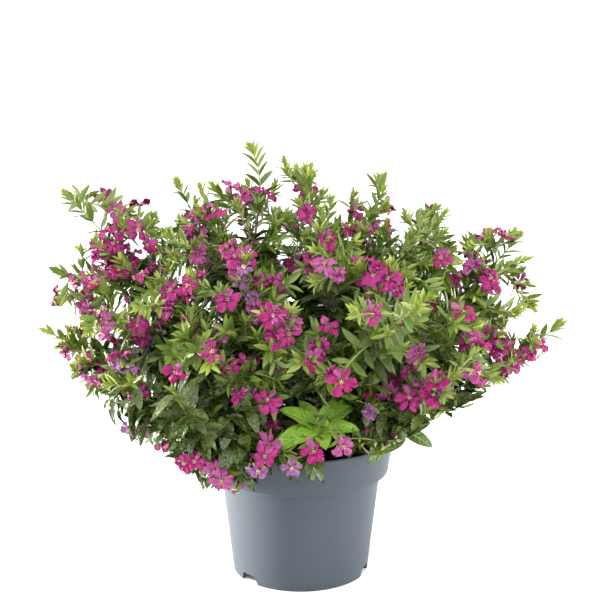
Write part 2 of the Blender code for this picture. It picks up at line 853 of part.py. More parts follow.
def side_leaf_size(share):
    return LEAF_LENGTH * 0.92, LEAF_WIDTH * 0.95, 60.0 - 20.0 * share


def make_mass(mass, stretches, materials):
    rng = random.Random(LEAF_SEED + len(mass["name"]) * 31 + int(mass["bearing"]) + ord(mass["name"][0]))
    pieces = []
    base = None
    for number, path in enumerate(mass["shoots"]):
        lead = number == 0
        if not lead and not twig_fits(mass, path, SIDE_TWIG_RADIUS, stretches):
            continue
        length = path_length(path)
        tip_length = min(LEAF_LENGTH * 0.8, length * 0.4)
        tip = tip_leaf(path, tip_length, LEAF_WIDTH * 0.8, rng)
        wood = path_part(path, 1.0 - 0.75 * tip_length / length)
        radii = taper(TWIG_RADIUS if lead else SIDE_TWIG_RADIUS, TWIG_TIP_RADIUS, len(wood))
        twig = limb_mesh("twig", wood, radii, TWIG_SIDES)
        if lead:
            base = twig
        else:
            pieces.append(twig)
        pieces.append(leaf_mesh(tip))
        if lead:
            pieces += twig_leaves(mass, wood, LEAD_PAIRS, lead_leaf_size, rng, stretches)
            for share in LEAD_FLOWERS:
                pieces += flower_on(mass, wood, share, rng, stretches)
        else:
            pieces += twig_leaves(mass, wood, SIDE_PAIRS, side_leaf_size, rng, stretches)
            if number % 2 == 1:
                pieces += flower_on(mass, wood, SIDE_FLOWER, rng, stretches)
    core, surface = core_mesh(mass, rng)
    pieces.append(core)
    pieces += core_leaves(mass, surface, rng, stretches)
    pieces += core_flowers(mass, surface, rng, stretches)
    return fuse("foliage_" + mass["name"], base, pieces, materials)


def path_part(path, share):
    """The path up to a share of its length."""
    left = share * path_length(path)
    kept = [path[0]]
    for a, b in zip(path, path[1:]):
        length = float(np.linalg.norm(b - a))
        if left <= length:
            kept.append(a + (b - a) * left / length)
            return kept
        kept.append(b)
        left -= length
    return kept


def path_length(path):
    return sum(float(np.linalg.norm(b - a)) for a, b in zip(path, path[1:]))


def make_rosette(material):
    """A soft young shoot from the soil with broad leaves spread round its tip."""
    rng = random.Random(LEAF_SEED)
    path = curve_points(
        ROSETTE_FOOT,
        ROSETTE_FOOT + np.array((0.0, -0.004, 0.012)),
        ROSETTE_CENTRE - np.array((0.0, -0.012, 0.010)),
        ROSETTE_CENTRE,
        4,
    )
    base = limb_mesh("twig", path, taper(ROSETTE_TWIG_RADIUS, TWIG_TIP_RADIUS, len(path)), TWIG_SIDES)
    course = unit(path[-1] - path[-2])
    pieces = []
    for k in range(ROSETTE_LEAVES):
        bearing = 360.0 * k / ROSETTE_LEAVES + rng.uniform(-9.0, 9.0)
        direction = heading(bearing, rng.uniform(4.0, 24.0))
        upward = unit(np.array((0.0, 0.0, 1.0)) - direction * direction[2])
        node = ROSETTE_CENTRE - course * ROSETTE_PAIR_GAP * (0.5 + k % 3)
        length = ROSETTE_LEAF_LENGTH * rng.uniform(0.85, 1.1)
        root = node + direction * LEAF_ROOT
        pieces.append(leaf_mesh(leaf_corners(root, direction, upward, length, ROSETTE_LEAF_WIDTH)))
    return fuse("foliage_front_rosette", base, pieces, [material])


def build():
    clear_scene()
    pot_grey = finish_material("pot_plastic", (0.16, 0.19, 0.22), 0.42)
    peat = finish_material("peat", (0.035, 0.022, 0.014), 0.95)
    bark = finish_material("bark", (0.17, 0.10, 0.06), 0.80)
    green = finish_material("leaf_green", (0.10, 0.22, 0.04), 0.50)
    lime = finish_material("young_leaf_green", (0.24, 0.42, 0.05), 0.45)
    magenta = finish_material("petal_magenta", (0.56, 0.03, 0.24), 0.55)
    make_pot(pot_grey)
    make_soil(peat)
    make_stems(bark)
    plan = mass_plan()
    bough_paths(plan)
    make_boughs(plan, bark)
    grow_shoots(plan)
    stretches = limb_segments(plan)
    for mass in plan:
        make_mass(mass, stretches, [green, magenta])
    make_rosette(lime)


build()
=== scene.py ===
import math
import random

import bmesh
import bpy
import numpy as np
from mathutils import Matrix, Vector, noise


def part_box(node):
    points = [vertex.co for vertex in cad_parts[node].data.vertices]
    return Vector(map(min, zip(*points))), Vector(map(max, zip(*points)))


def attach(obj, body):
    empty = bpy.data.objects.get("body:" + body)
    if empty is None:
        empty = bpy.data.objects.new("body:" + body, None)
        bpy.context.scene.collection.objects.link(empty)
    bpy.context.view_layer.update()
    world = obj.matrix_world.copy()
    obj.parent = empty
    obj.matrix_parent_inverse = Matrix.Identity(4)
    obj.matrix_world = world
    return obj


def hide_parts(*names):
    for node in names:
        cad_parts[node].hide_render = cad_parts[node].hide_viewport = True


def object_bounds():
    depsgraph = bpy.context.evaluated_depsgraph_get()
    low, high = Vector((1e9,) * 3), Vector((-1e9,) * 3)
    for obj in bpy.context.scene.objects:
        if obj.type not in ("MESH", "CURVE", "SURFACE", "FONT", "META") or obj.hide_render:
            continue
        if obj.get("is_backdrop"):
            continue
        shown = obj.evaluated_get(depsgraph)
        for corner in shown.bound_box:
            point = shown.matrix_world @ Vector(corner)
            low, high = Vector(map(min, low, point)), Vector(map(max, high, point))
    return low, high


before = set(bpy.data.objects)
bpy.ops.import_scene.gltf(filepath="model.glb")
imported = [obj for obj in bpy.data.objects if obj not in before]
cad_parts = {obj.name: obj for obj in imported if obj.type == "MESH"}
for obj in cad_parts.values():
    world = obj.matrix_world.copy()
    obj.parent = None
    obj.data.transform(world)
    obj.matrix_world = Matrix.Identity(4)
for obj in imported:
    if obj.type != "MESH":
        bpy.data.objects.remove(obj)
cad_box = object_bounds()
bpy.ops.object.select_all(action="DESELECT")

# Nursery pot: one thin shell of blue-grey polypropylene, injection moulded with a stepped rim band and
# a rolled lip. Its floor is raised inside a foot ring that three drain arches cut through.
pot_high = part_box("pot")[1]
RIM_RADIUS = pot_high.x
POT_HEIGHT = pot_high.z
RIM_FOOT_RADIUS = 0.0612
RIM_STEP_HEIGHT = 0.0732
BODY_TOP_RADIUS = 0.0555
FOOT_RADIUS = 0.0472
WALL = 0.0015
FOOT_WALL = 0.0024
FLOOR_UNDERSIDE = 0.0066
FLOOR_THICKNESS = 0.0018
LIP_ROLL = 0.0009
LIP_HEIGHT = 0.0030
EDGE_ROUND = 0.0008
POT_SIDES = 144
ARCH_BEARINGS = (-48.5, 71.5, 191.5)
ARCH_WIDTH = 0.0205
ARCH_HEIGHT = 0.0061
ARCH_TAPER = 0.60
ARCH_SHOULDER = 0.0012
FLOOR_MIDDLE = 0.0100
LIP_ROUND = 0.62
SMOOTH_ANGLE = 32.0


def new_material(name, colour, roughness):
    material = bpy.data.materials.new(name)
    material.use_nodes = True
    shader = material.node_tree.nodes["Principled BSDF"]
    shader.inputs["Base Color"].default_value = (*colour, 1.0)
    shader.inputs["Roughness"].default_value = roughness
    return material, shader


def noise_on(material, scale, detail=3.0, roughness=0.55, stretch=(1.0, 1.0, 1.0), attribute=None):
    """The factor of a noise texture in object space, or over the places that an attribute holds."""
    nodes = material.node_tree.nodes
    links = material.node_tree.links
    place = nodes.new("ShaderNodeAttribute" if attribute else "ShaderNodeTexCoord")
    if attribute:
        place.attribute_name = attribute
    mapping = nodes.new("ShaderNodeMapping")
    mapping.inputs["Scale"].default_value = stretch
    texture = nodes.new("ShaderNodeTexNoise")
    texture.inputs["Scale"].default_value = scale
    texture.inputs["Detail"].default_value = detail
    texture.inputs["Roughness"].default_value = roughness
    links.new(place.outputs["Vector" if attribute else "Object"], mapping.inputs["Vector"])
    links.new(mapping.outputs["Vector"], texture.inputs["Vector"])
    return texture.outputs["Fac"]


def colour_by(material, shader, factor, stops):
    """A colour ramp from (position, colour) stops, driven by the factor, on the base colour."""
    ramp = material.node_tree.nodes.new("ShaderNodeValToRGB")
    elements = ramp.color_ramp.elements
    while len(elements) < len(stops):
        elements.new(0.5)
    for element, (position, colour) in zip(elements, stops):
        element.position = position
        element.color = (*colour, 1.0)
    material.node_tree.links.new(factor, ramp.inputs["Fac"])
    material.node_tree.links.new(ramp.outputs["Color"], shader.inputs["Base Color"])


def rough_by(material, shader, factor, low, high):
    spread = material.node_tree.nodes.new("ShaderNodeMapRange")
    spread.inputs["From Min"].default_value = 0.3
    spread.inputs["From Max"].default_value = 0.7
    spread.inputs["To Min"].default_value = low
    spread.inputs["To Max"].default_value = high
    material.node_tree.links.new(factor, spread.inputs["Value"])
    material.node_tree.links.new(spread.outputs["Result"], shader.inputs["Roughness"])


def bump_by(material, shader, factor, distance, strength=1.0):
    bump = material.node_tree.nodes.new("ShaderNodeBump")
    bump.inputs["Distance"].default_value = distance
    bump.inputs["Strength"].default_value = strength
    material.node_tree.links.new(factor, bump.inputs["Height"])
    material.node_tree.links.new(bump.outputs["Normal"], shader.inputs["Normal"])


def turned_shell(name, profile, sides):
    """A circle drawn out ring by ring along a profile of (radius, height), closed at both ends."""
    radius, height = profile[0]
    bpy.ops.mesh.primitive_circle_add(vertices=sides, radius=radius, location=(0.0, 0.0, height))
    shell = bpy.context.object
    shell.name = name
    bpy.ops.object.mode_set(mode="EDIT")
    bpy.ops.mesh.select_all(action="SELECT")
    for (r0, z0), (r1, z1) in zip(profile, profile[1:]):
        bpy.ops.mesh.extrude_region_move(TRANSFORM_OT_translate={"value": (0.0, 0.0, z1 - z0)})
        bpy.ops.transform.resize(value=(r1 / r0, r1 / r0, 1.0), center_override=(0.0, 0.0, z1))
    bpy.ops.mesh.select_all(action="SELECT")
    bpy.ops.mesh.fill_holes(sides=0)
    bpy.ops.mesh.select_all(action="SELECT")
    bpy.ops.mesh.normals_make_consistent(inside=False)
    bpy.ops.object.mode_set(mode="OBJECT")
    bpy.ops.object.transform_apply(location=True, rotation=True, scale=True)
    return shell


def arc(centre, radius, start, end, steps):
    """Points of (radius, height) round a corner, between two angles in degrees."""
    turns = [math.radians(start + (end - start) * i / steps) for i in range(steps + 1)]
    return [(centre[0] + radius * math.cos(a), centre[1] + radius * math.sin(a)) for a in turns]


def pot_profile():
    body_slope = (BODY_TOP_RADIUS - FOOT_RADIUS) / RIM_STEP_HEIGHT
    band_top = POT_HEIGHT - LIP_HEIGHT
    band_radius = RIM_RADIUS - LIP_ROLL
    floor_top = FLOOR_UNDERSIDE + FLOOR_THICKNESS
    inner_step = RIM_STEP_HEIGHT + WALL
    e = EDGE_ROUND
    points = [(FLOOR_MIDDLE, FLOOR_UNDERSIDE), (FOOT_RADIUS - FOOT_WALL, FLOOR_UNDERSIDE)]
    points += arc((FOOT_RADIUS - FOOT_WALL + e, e), e, 180, 270, 3)
    points += arc((FOOT_RADIUS - e, e), e, 270, 360, 3)
    for share in (0.25, 0.5, 0.75):
        height = RIM_STEP_HEIGHT * share
        points.append((FOOT_RADIUS + body_slope * height, height))
    points += arc((BODY_TOP_RADIUS + e, RIM_STEP_HEIGHT - e), e, 180, 90, 3)
    points += arc((RIM_FOOT_RADIUS - e, RIM_STEP_HEIGHT + e), e, 270, 360, 3)
    points.append(((RIM_FOOT_RADIUS + band_radius) / 2, (RIM_STEP_HEIGHT + band_top) / 2))
    points.append((band_radius, band_top - e))
    roll = LIP_HEIGHT / 2
    points += arc((RIM_RADIUS - roll * LIP_ROUND, band_top + roll), roll * LIP_ROUND, -75, 0, 4)
    points += arc((RIM_RADIUS - WALL * 0.6, POT_HEIGHT - WALL * 0.6), WALL * 0.6, 0, 180, 6)
    points += [
        (RIM_RADIUS - WALL * 1.2, band_top),
        (RIM_FOOT_RADIUS - WALL, inner_step),
        (BODY_TOP_RADIUS - WALL, inner_step),
        (FOOT_RADIUS - WALL, floor_top),
        (FLOOR_MIDDLE, floor_top),
    ]
    return points


def arch_cutter(bearing):
    """A tapered block with rounded shoulders that stands where a drain arch goes through the foot."""
    angle = math.radians(bearing)
    place = (FOOT_RADIUS * math.sin(angle), -FOOT_RADIUS * math.cos(angle), 0.0)
    bpy.ops.mesh.primitive_cube_add(size=1.0, location=place, rotation=(0.0, 0.0, angle))
    cutter = bpy.context.object
    cutter.scale = (ARCH_WIDTH, 6.0 * FOOT_WALL, 2.0 * ARCH_HEIGHT)
    bpy.ops.object.transform_apply(location=False, rotation=False, scale=True)
    bpy.ops.object.mode_set(mode="EDIT")
    bpy.ops.mesh.select_mode(type="FACE")
    bpy.ops.mesh.select_all(action="DESELECT")
    shape = bmesh.from_edit_mesh(cutter.data)
    for face in shape.faces:
        face.select_set(face.normal.z > 0.9)
    bmesh.update_edit_mesh(cutter.data)
    bpy.ops.transform.resize(value=(ARCH_TAPER, ARCH_TAPER, 1.0), center_override=(*place[:2], ARCH_HEIGHT))
    bpy.ops.mesh.bevel(offset=ARCH_SHOULDER, segments=3, affect="EDGES")
    bpy.ops.object.mode_set(mode="OBJECT")
    return cutter


def pick(piece):
    bpy.ops.object.select_all(action="DESELECT")
    piece.select_set(True)
    bpy.context.view_layer.objects.active = piece


pot = turned_shell("nursery_pot", pot_profile(), POT_SIDES)
for bearing in ARCH_BEARINGS:
    cutter = arch_cutter(bearing)
    cut = pot.modifiers.new("drain arch", "BOOLEAN")
    cut.operation = "DIFFERENCE"
    cut.object = cutter
    pick(pot)
    bpy.ops.object.modifier_apply(modifier=cut.name)
    bpy.data.objects.remove(cutter, do_unlink=True)
pick(pot)
bpy.ops.object.shade_smooth_by_angle(angle=math.radians(SMOOTH_ANGLE))
pot_plastic, shader = new_material("pot_plastic", (0.043, 0.054, 0.068), 0.46)
shader.inputs["Specular IOR Level"].default_value = 0.22
wear = noise_on(pot_plastic, 26.0, 4.0, 0.6, (1.0, 1.0, 0.35))
colour_by(pot_plastic, shader, wear, [(0.30, (0.040, 0.050, 0.064)), (0.70, (0.047, 0.058, 0.073))])
rough_by(pot_plastic, shader, wear, 0.40, 0.52)
bump_by(pot_plastic, shader, noise_on(pot_plastic, 1500.0, 2.0), 0.00003)
pot.data.materials.append(pot_plastic)
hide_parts("pot")
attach(pot, "root")

# Potting peat: moist milled peat pressed into the pot to just under the rim, with loose crumbs and a few
# reddish fibres of bark on its surface.
SOIL_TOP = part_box("potting_soil")[1].z
SOIL_CROWN = 0.0020
SOIL_ROUGHNESS = 0.0011
SOIL_SINK = 0.0004
SOIL_RINGS = 46
SOIL_SIDES = 120
CRUMB_COUNT = 1500
FIBRE_COUNT = 130
CRUMB_SIZES = (0.0005, 0.0015)
FIBRE_SIZES = (0.0010, 0.0019)
CRUMB_MARGIN = 0.0012
CRUMB_LIFT = 0.25
CRUMB_UNEVEN = (0.7, 1.25)
CRUMB_SQUASH = (1.0, 0.8, 0.7)
FIBRE_SQUASH = (1.5, 0.35, 0.30)
LUMP_SCALE = 140.0
SOIL_SEED = 5
CLEARANCE = 0.0003
soil_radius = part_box("potting_soil")[1].x


def soil_height(x, y):
    swell = 1.0 - (math.hypot(x, y) / soil_radius) ** 2
    lumps = noise.noise(Vector((x * LUMP_SCALE, y * LUMP_SCALE, 0.3)))
    lumps += 0.5 * noise.noise(Vector((x * 3.0 * LUMP_SCALE, y * 3.0 * LUMP_SCALE, 2.0)))
    return SOIL_TOP - SOIL_CROWN * (1.0 - swell) + SOIL_ROUGHNESS * lumps - SOIL_SINK


def mesh_piece(name, verts, faces, smooth=True):
    """An object from arrays of corners and of faces that all have the same number of corners."""
    mesh = bpy.data.meshes.new(name)
    verts = np.asarray(verts, np.float32)
    faces = np.asarray(faces, np.int32)
    corners = faces.shape[1]
    mesh.vertices.add(len(verts))
    mesh.vertices.foreach_set("co", verts.ravel())
    mesh.loops.add(faces.size)
    mesh.loops.foreach_set("vertex_index", faces.ravel())
    mesh.polygons.add(len(faces))
    mesh.polygons.foreach_set("loop_start", np.arange(0, faces.size, corners, dtype=np.int32))
    mesh.polygons.foreach_set("use_smooth", np.full(len(faces), smooth))
    mesh.update(calc_edges=True)
    mesh.validate()
    piece = bpy.data.objects.new(name, mesh)
    bpy.context.scene.collection.objects.link(piece)
    return piece


def finish_piece(piece, material, nodes=()):
    piece.data.materials.append(material)
    if nodes:
        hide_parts(*nodes)
    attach(piece, "root")


def mottled(name, colour, roughness, scale, dark, light, detail=3.0, relief=0.0):
    """A material whose tone drifts from dark to light, with relief to match where it is rough."""
    material, shader = new_material(name, colour, roughness)
    factor = noise_on(material, scale, detail)
    colour_by(material, shader, factor, [(0.35, dark), (0.65, light)])
    if relief:
        bump_by(material, shader, factor, relief)
    return material, shader


def scatter_crumbs(name, count, sizes, squash, material, rng):
    """Small rough lumps that lie on the peat, joined in one mesh."""
    lump_mesh = bmesh.new()
    bmesh.ops.create_icosphere(lump_mesh, subdivisions=1, radius=1.0)
    shape = np.array([vert.co for vert in lump_mesh.verts])
    faces = np.array([[vert.index for vert in face.verts] for face in lump_mesh.faces])
    lump_mesh.free()
    verts = []
    polys = []
    for number in range(count):
        radius = (soil_radius - CRUMB_MARGIN) * math.sqrt(rng.random())
        angle = rng.uniform(0.0, math.tau)
        x = radius * math.cos(angle)
        y = radius * math.sin(angle)
        size = rng.uniform(*sizes)
        lump = shape * size * np.array([[rng.uniform(*CRUMB_UNEVEN)] for corner in shape])
        turn = rng.uniform(0.0, math.tau)
        lump = lump * np.array(squash)
        spun = np.stack(
            (
                lump[:, 0] * math.cos(turn) - lump[:, 1] * math.sin(turn),
                lump[:, 0] * math.sin(turn) + lump[:, 1] * math.cos(turn),
                lump[:, 2],
            ),
            axis=1,
        )
        verts.append(spun + np.array((x, y, soil_height(x, y) + size * CRUMB_LIFT)))
        polys.append(faces + number * len(shape))
    piece = mesh_piece(name, np.concatenate(verts), np.concatenate(polys), smooth=False)
    finish_piece(piece, material)


def peat_profile():
    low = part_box("potting_soil")[0].z
    inner_step = RIM_STEP_HEIGHT + WALL + CLEARANCE
    gap = WALL + 2.0 * CLEARANCE
    points = [(FLOOR_MIDDLE, low), (FOOT_RADIUS - gap, low), (BODY_TOP_RADIUS - gap, inner_step)]
    points += [(RIM_FOOT_RADIUS - gap, inner_step), (soil_radius, SOIL_TOP - SOIL_CROWN)]
    for ring in range(1, SOIL_RINGS):
        points.append((soil_radius * (1.0 - ring / SOIL_RINGS), SOIL_TOP - SOIL_CROWN))
    return points


peat = turned_shell("potting_peat", peat_profile(), SOIL_SIDES)
for vert in peat.data.vertices:
    if vert.co.z > SOIL_TOP - SOIL_CROWN - 0.0001:
        vert.co.z = soil_height(vert.co.x, vert.co.y)
for polygon in peat.data.polygons:
    polygon.use_smooth = True
peat_brown, shader = new_material("peat_brown", (0.030, 0.018, 0.012), 0.92)
grain = noise_on(peat_brown, 620.0, 5.0, 0.7)
peat_tones = [(0.32, (0.034, 0.020, 0.014)), (0.52, (0.090, 0.053, 0.036)), (0.72, (0.190, 0.110, 0.072))]
colour_by(peat_brown, shader, grain, peat_tones)
bump_by(peat_brown, shader, grain, 0.0010)
finish_piece(peat, peat_brown, ["potting_soil"])
soil_rng = random.Random(SOIL_SEED)
crumb_brown, shader = mottled(
    "crumb_brown", (0.040, 0.023, 0.015), 0.95, 420.0, (0.042, 0.024, 0.016), (0.160, 0.094, 0.060)
)
scatter_crumbs("peat_crumbs", CRUMB_COUNT, CRUMB_SIZES, CRUMB_SQUASH, crumb_brown, soil_rng)
fibre_red, shader = mottled(
    "bark_fibre_red", (0.120, 0.045, 0.025), 0.85, 500.0, (0.120, 0.045, 0.026), (0.260, 0.115, 0.066), 2.0
)
scatter_crumbs("bark_fibres", FIBRE_COUNT, FIBRE_SIZES, FIBRE_SQUASH, fibre_red, soil_rng)

# Stems and boughs: three rooted stems of thin brown bark that fork low down into one bough for each mass
# of foliage. The bark has shallow ridges along it and a swelling at each old leaf joint.
STEM_BEARINGS = (60.0, 180.0, 300.0)
STEM_FOOT_OFFSET = 0.0110
STEM_TOP_OFFSET = 0.0175
STEM_TOP = 0.1130
STEM_FOOT_RADIUS = 0.0026
STEM_TOP_RADIUS = 0.0019
STEM_FLARE = 1.35
FLARE_FADE = 9.0
STEM_SINK = 0.002
STEM_STEPS = 33
BOUGH_BASE_RADIUS = 0.00135
BOUGH_TIP_RADIUS = 0.00100
BOUGH_PULLS = (0.32, 0.36)
FORK_SPACING = 0.0041
LOWEST_FORK = 0.0925
FORK_INSET = 0.6
TOP_FORK_DROP = 0.001
HUB = np.array((0.0, 0.0, 0.080))
LOWER_RING = (18.0, (42.0, 85.0, 130.0, 180.0, 230.0, 275.0, 322.0))
UPPER_RING = (45.0, (30.0, 90.0, 150.0, 210.0, 270.0, 330.0))
TOP_RING = (74.0, (60.0, 180.0, 300.0))
MASS_START = {"lower": 0.082, "upper": 0.068, "top": 0.064}
BARK_STEP = 0.0008
BARK_SIDES = 14
RIDGE_DEPTH = 0.07
RIDGE_WAVES = (3, 5, 7)
RIDGE_WANDER = (120.0, 260.0)
JOINT_SPACING = 0.0085
JOINT_SWELL = 0.16
JOINT_LENGTH = 0.0007
BARK_SEED = 11
UP = np.array((0.0, 0.0, 1.0))


def unit(vector):
    return vector / math.sqrt(float(np.dot(vector, vector)))


def heading(bearing, rise):
    b = math.radians(bearing)
    r = math.radians(rise)
    return np.array((math.sin(b) * math.cos(r), -math.cos(b) * math.cos(r), math.sin(r)))


def curve_points(start, first, second, end, steps):
    t = np.linspace(0.0, 1.0, steps + 1)[:, None]
    s = 1.0 - t
    return s**3 * start + 3 * s * s * t * first + 3 * s * t * t * second + t**3 * end


def stem_axis(bearing):
    outward = heading(bearing, 0.0)
    foot = outward * STEM_FOOT_OFFSET + (SOIL_TOP + CLEARANCE) * UP
    top = outward * STEM_TOP_OFFSET + STEM_TOP * UP
    return foot, top


def stem_radius(share):
    return STEM_FOOT_RADIUS + (STEM_TOP_RADIUS - STEM_FOOT_RADIUS) * share


def nearest_stem(mass):
    return min(STEM_BEARINGS, key=lambda bearing: abs((bearing - mass["bearing"] + 180.0) % 360.0 - 180.0))


def mass_plan():
    plan = []
    for ring, (rise, bearings) in (("lower", LOWER_RING), ("upper", UPPER_RING), ("top", TOP_RING)):
        for number, bearing in enumerate(bearings, 1):
            axis = heading(bearing, rise)
            mass = {"name": f"{ring}_{number}", "ring": ring, "bearing": bearing, "axis": axis}
            mass["start"] = HUB + MASS_START[ring] * axis
            plan.append(mass)
    return plan


def bough_curve(root, leaving, mass):
    length = np.linalg.norm(mass["start"] - root)
    first = root + leaving * length * BOUGH_PULLS[0]
    second = mass["start"] - mass["axis"] * length * BOUGH_PULLS[1]
    return curve_points(root, first, second, mass["start"], max(8, int(length / BARK_STEP)))


def bough_paths(plan):
    """Adds to each mass the path of its bough, from a fork on the nearest stem."""
    for stem_bearing in STEM_BEARINGS:
        foot, top = stem_axis(stem_bearing)
        lift = unit(top - foot)
        carried = [mass for mass in plan if nearest_stem(mass) == stem_bearing]
        side_forks = [mass for mass in carried if mass["ring"] != "top"]
        for level, mass in enumerate(side_forks):
            share = (LOWEST_FORK + FORK_SPACING * level - foot[2]) / (top[2] - foot[2])
            outward = heading(mass["bearing"], 0.0)
            outward = unit(outward - lift * float(np.dot(outward, lift)))
            root = foot + (top - foot) * share + outward * stem_radius(share) * FORK_INSET
            mass["bough"] = bough_curve(root, outward, mass)
        for mass in carried:
            if mass["ring"] == "top":
                mass["bough"] = bough_curve(top - lift * TOP_FORK_DROP, lift, mass)


def distances_along(path):
    return np.concatenate(([0.0], np.cumsum(np.linalg.norm(np.diff(path, axis=0), axis=1))))


def frames_along(path):
    """Crosswise directions at each point of a path, carried along it without a twist."""
    lean = np.array((0.31, 0.17, 0.93))
    if abs(np.dot(unit(path[-1] - path[0]), unit(lean))) > 0.9:
        lean = np.array((0.93, 0.31, 0.17))
    sides = []
    others = []
    for i in range(len(path)):
        course = unit(path[min(i + 1, len(path) - 1)] - path[max(i - 1, 0)])
        side = unit(lean - course * float(np.dot(lean, course)))
        lean = side
        sides.append(side)
        others.append(np.cross(course, side))
    return np.array(sides), np.array(others)


def tube(path, radii, sides, relief=None):
    """Corners and four-sided faces of a limb along a path, closed at its ends with a point."""
    side, other = frames_along(path)
    turns = np.arange(sides) * math.tau / sides
    radius = np.asarray(radii)[:, None] * (1.0 if relief is None else relief)
    ring = np.cos(turns)[None, :, None] * side[:, None, :] + np.sin(turns)[None, :, None] * other[:, None, :]
    verts = (path[:, None, :] + ring * np.broadcast_to(radius, (len(path), sides))[:, :, None]).reshape(-1, 3)
    k = np.arange(sides)
    faces = []
    for i in range(len(path) - 1):
        low = i * sides
        high = low + sides
        faces.append(np.stack((low + k, low + (k + 1) % sides, high + (k + 1) % sides, high + k), axis=1))
    faces = np.concatenate(faces)
    foot = len(verts)
    last = (len(path) - 1) * sides
    caps = np.concatenate(
        (
            np.stack((np.full(sides, foot), (k + 1) % sides, k), axis=1),
            np.stack((last + k, last + (k + 1) % sides, np.full(sides, foot + 1)), axis=1),
        )
    )
    verts = np.concatenate((verts, [path[0], path[-1]]))
    triangles = np.concatenate((faces[:, (0, 1, 2)], faces[:, (0, 2, 3)], caps))
    return verts, triangles


def join_tubes(name, tubes):
    verts = []
    faces = []
    count = 0
    for corners, triangles in tubes:
        verts.append(corners)
        faces.append(triangles + count)
        count += len(corners)
    return mesh_piece(name, np.concatenate(verts), np.concatenate(faces))


def bark_relief(path, sides, rng):
    """Radius factors for ridges that wander along the limb and for swellings at its joints."""
    lengths = distances_along(path)
    turns = np.arange(sides) * math.tau / sides
    relief = np.ones((len(path), sides))
    for waves in RIDGE_WAVES:
        phase = rng.uniform(0.0, math.tau)
        wander = rng.uniform(*RIDGE_WANDER)
        drift = np.sin(lengths * wander)[:, None]
        relief += RIDGE_DEPTH / len(RIDGE_WAVES) * np.sin(waves * turns[None, :] + phase + drift)
    offset = rng.uniform(0.0, JOINT_SPACING)
    away = (lengths + offset) % JOINT_SPACING - JOINT_SPACING / 2
    relief += JOINT_SWELL * np.exp(-((away / JOINT_LENGTH) ** 2))[:, None]
    return relief


plan = mass_plan()
bough_paths(plan)
bark_rng = random.Random(BARK_SEED)
stem_tubes = []
for bearing in STEM_BEARINGS:
    foot, top = stem_axis(bearing)
    shares = np.linspace(0.0, 1.0, STEM_STEPS + 1)
    path = foot - STEM_SINK * UP + (top - foot) * shares[:, None]
    radii = stem_radius(shares) * (1.0 + (STEM_FLARE - 1.0) * np.exp(-shares * FLARE_FADE))
    stem_tubes.append(tube(path, radii, BARK_SIDES, bark_relief(path, BARK_SIDES, bark_rng)))
bark_brown, shader = new_material("bark_brown", (0.120, 0.066, 0.045), 0.78)
grain = noise_on(bark_brown, 260.0, 5.0, 0.65, (1.0, 1.0, 0.30))
bark_tones = [(0.30, (0.052, 0.026, 0.018)), (0.55, (0.135, 0.070, 0.048)), (0.75, (0.240, 0.145, 0.095))]
colour_by(bark_brown, shader, grain, bark_tones)
bump_by(bark_brown, shader, grain, 0.0004)
stems = join_tubes("stems", stem_tubes)
finish_piece(stems, bark_brown, ["stem_1", "stem_2", "stem_3"])
bough_tubes = []
for mass in plan:
    radii = np.linspace(BOUGH_BASE_RADIUS, BOUGH_TIP_RADIUS, len(mass["bough"]))
    relief = bark_relief(mass["bough"], BARK_SIDES, bark_rng)
    bough_tubes.append(tube(mass["bough"], radii, BARK_SIDES, relief))
boughs = join_tubes("boughs", bough_tubes)
finish_piece(boughs, bark_brown, ["bough_" + mass["name"] for mass in plan])

# Shoots: each bough goes on as a lead shoot with side shoots, by the same rule as the solid masses, and
# these carry many finer shoots that fill the crown. Old wood is brown, and the young ends are green.
CROWN_DEPTH = 0.82
HALF_WIDTH = 0.1835
HALF_DEPTH = 0.1500
CROWN_TOP = 0.3025
ENVELOPE_RISE = (-20.0, 0.0, 10.0, 18.0, 26.0, 38.0, 50.0, 65.0, 90.0)
ENVELOPE_REACH = (0.085, 0.102, 0.132, 0.160, 0.188, 0.200, 0.206, 0.200, 0.194)
FRONT_GAP = (-18.0, 28.0, 33.0)
SHOOT_COUNT = 62
LOWEST_RISE = 3.0
LEAD_SPACING = 12.0
TIP_ROOM = 0.004
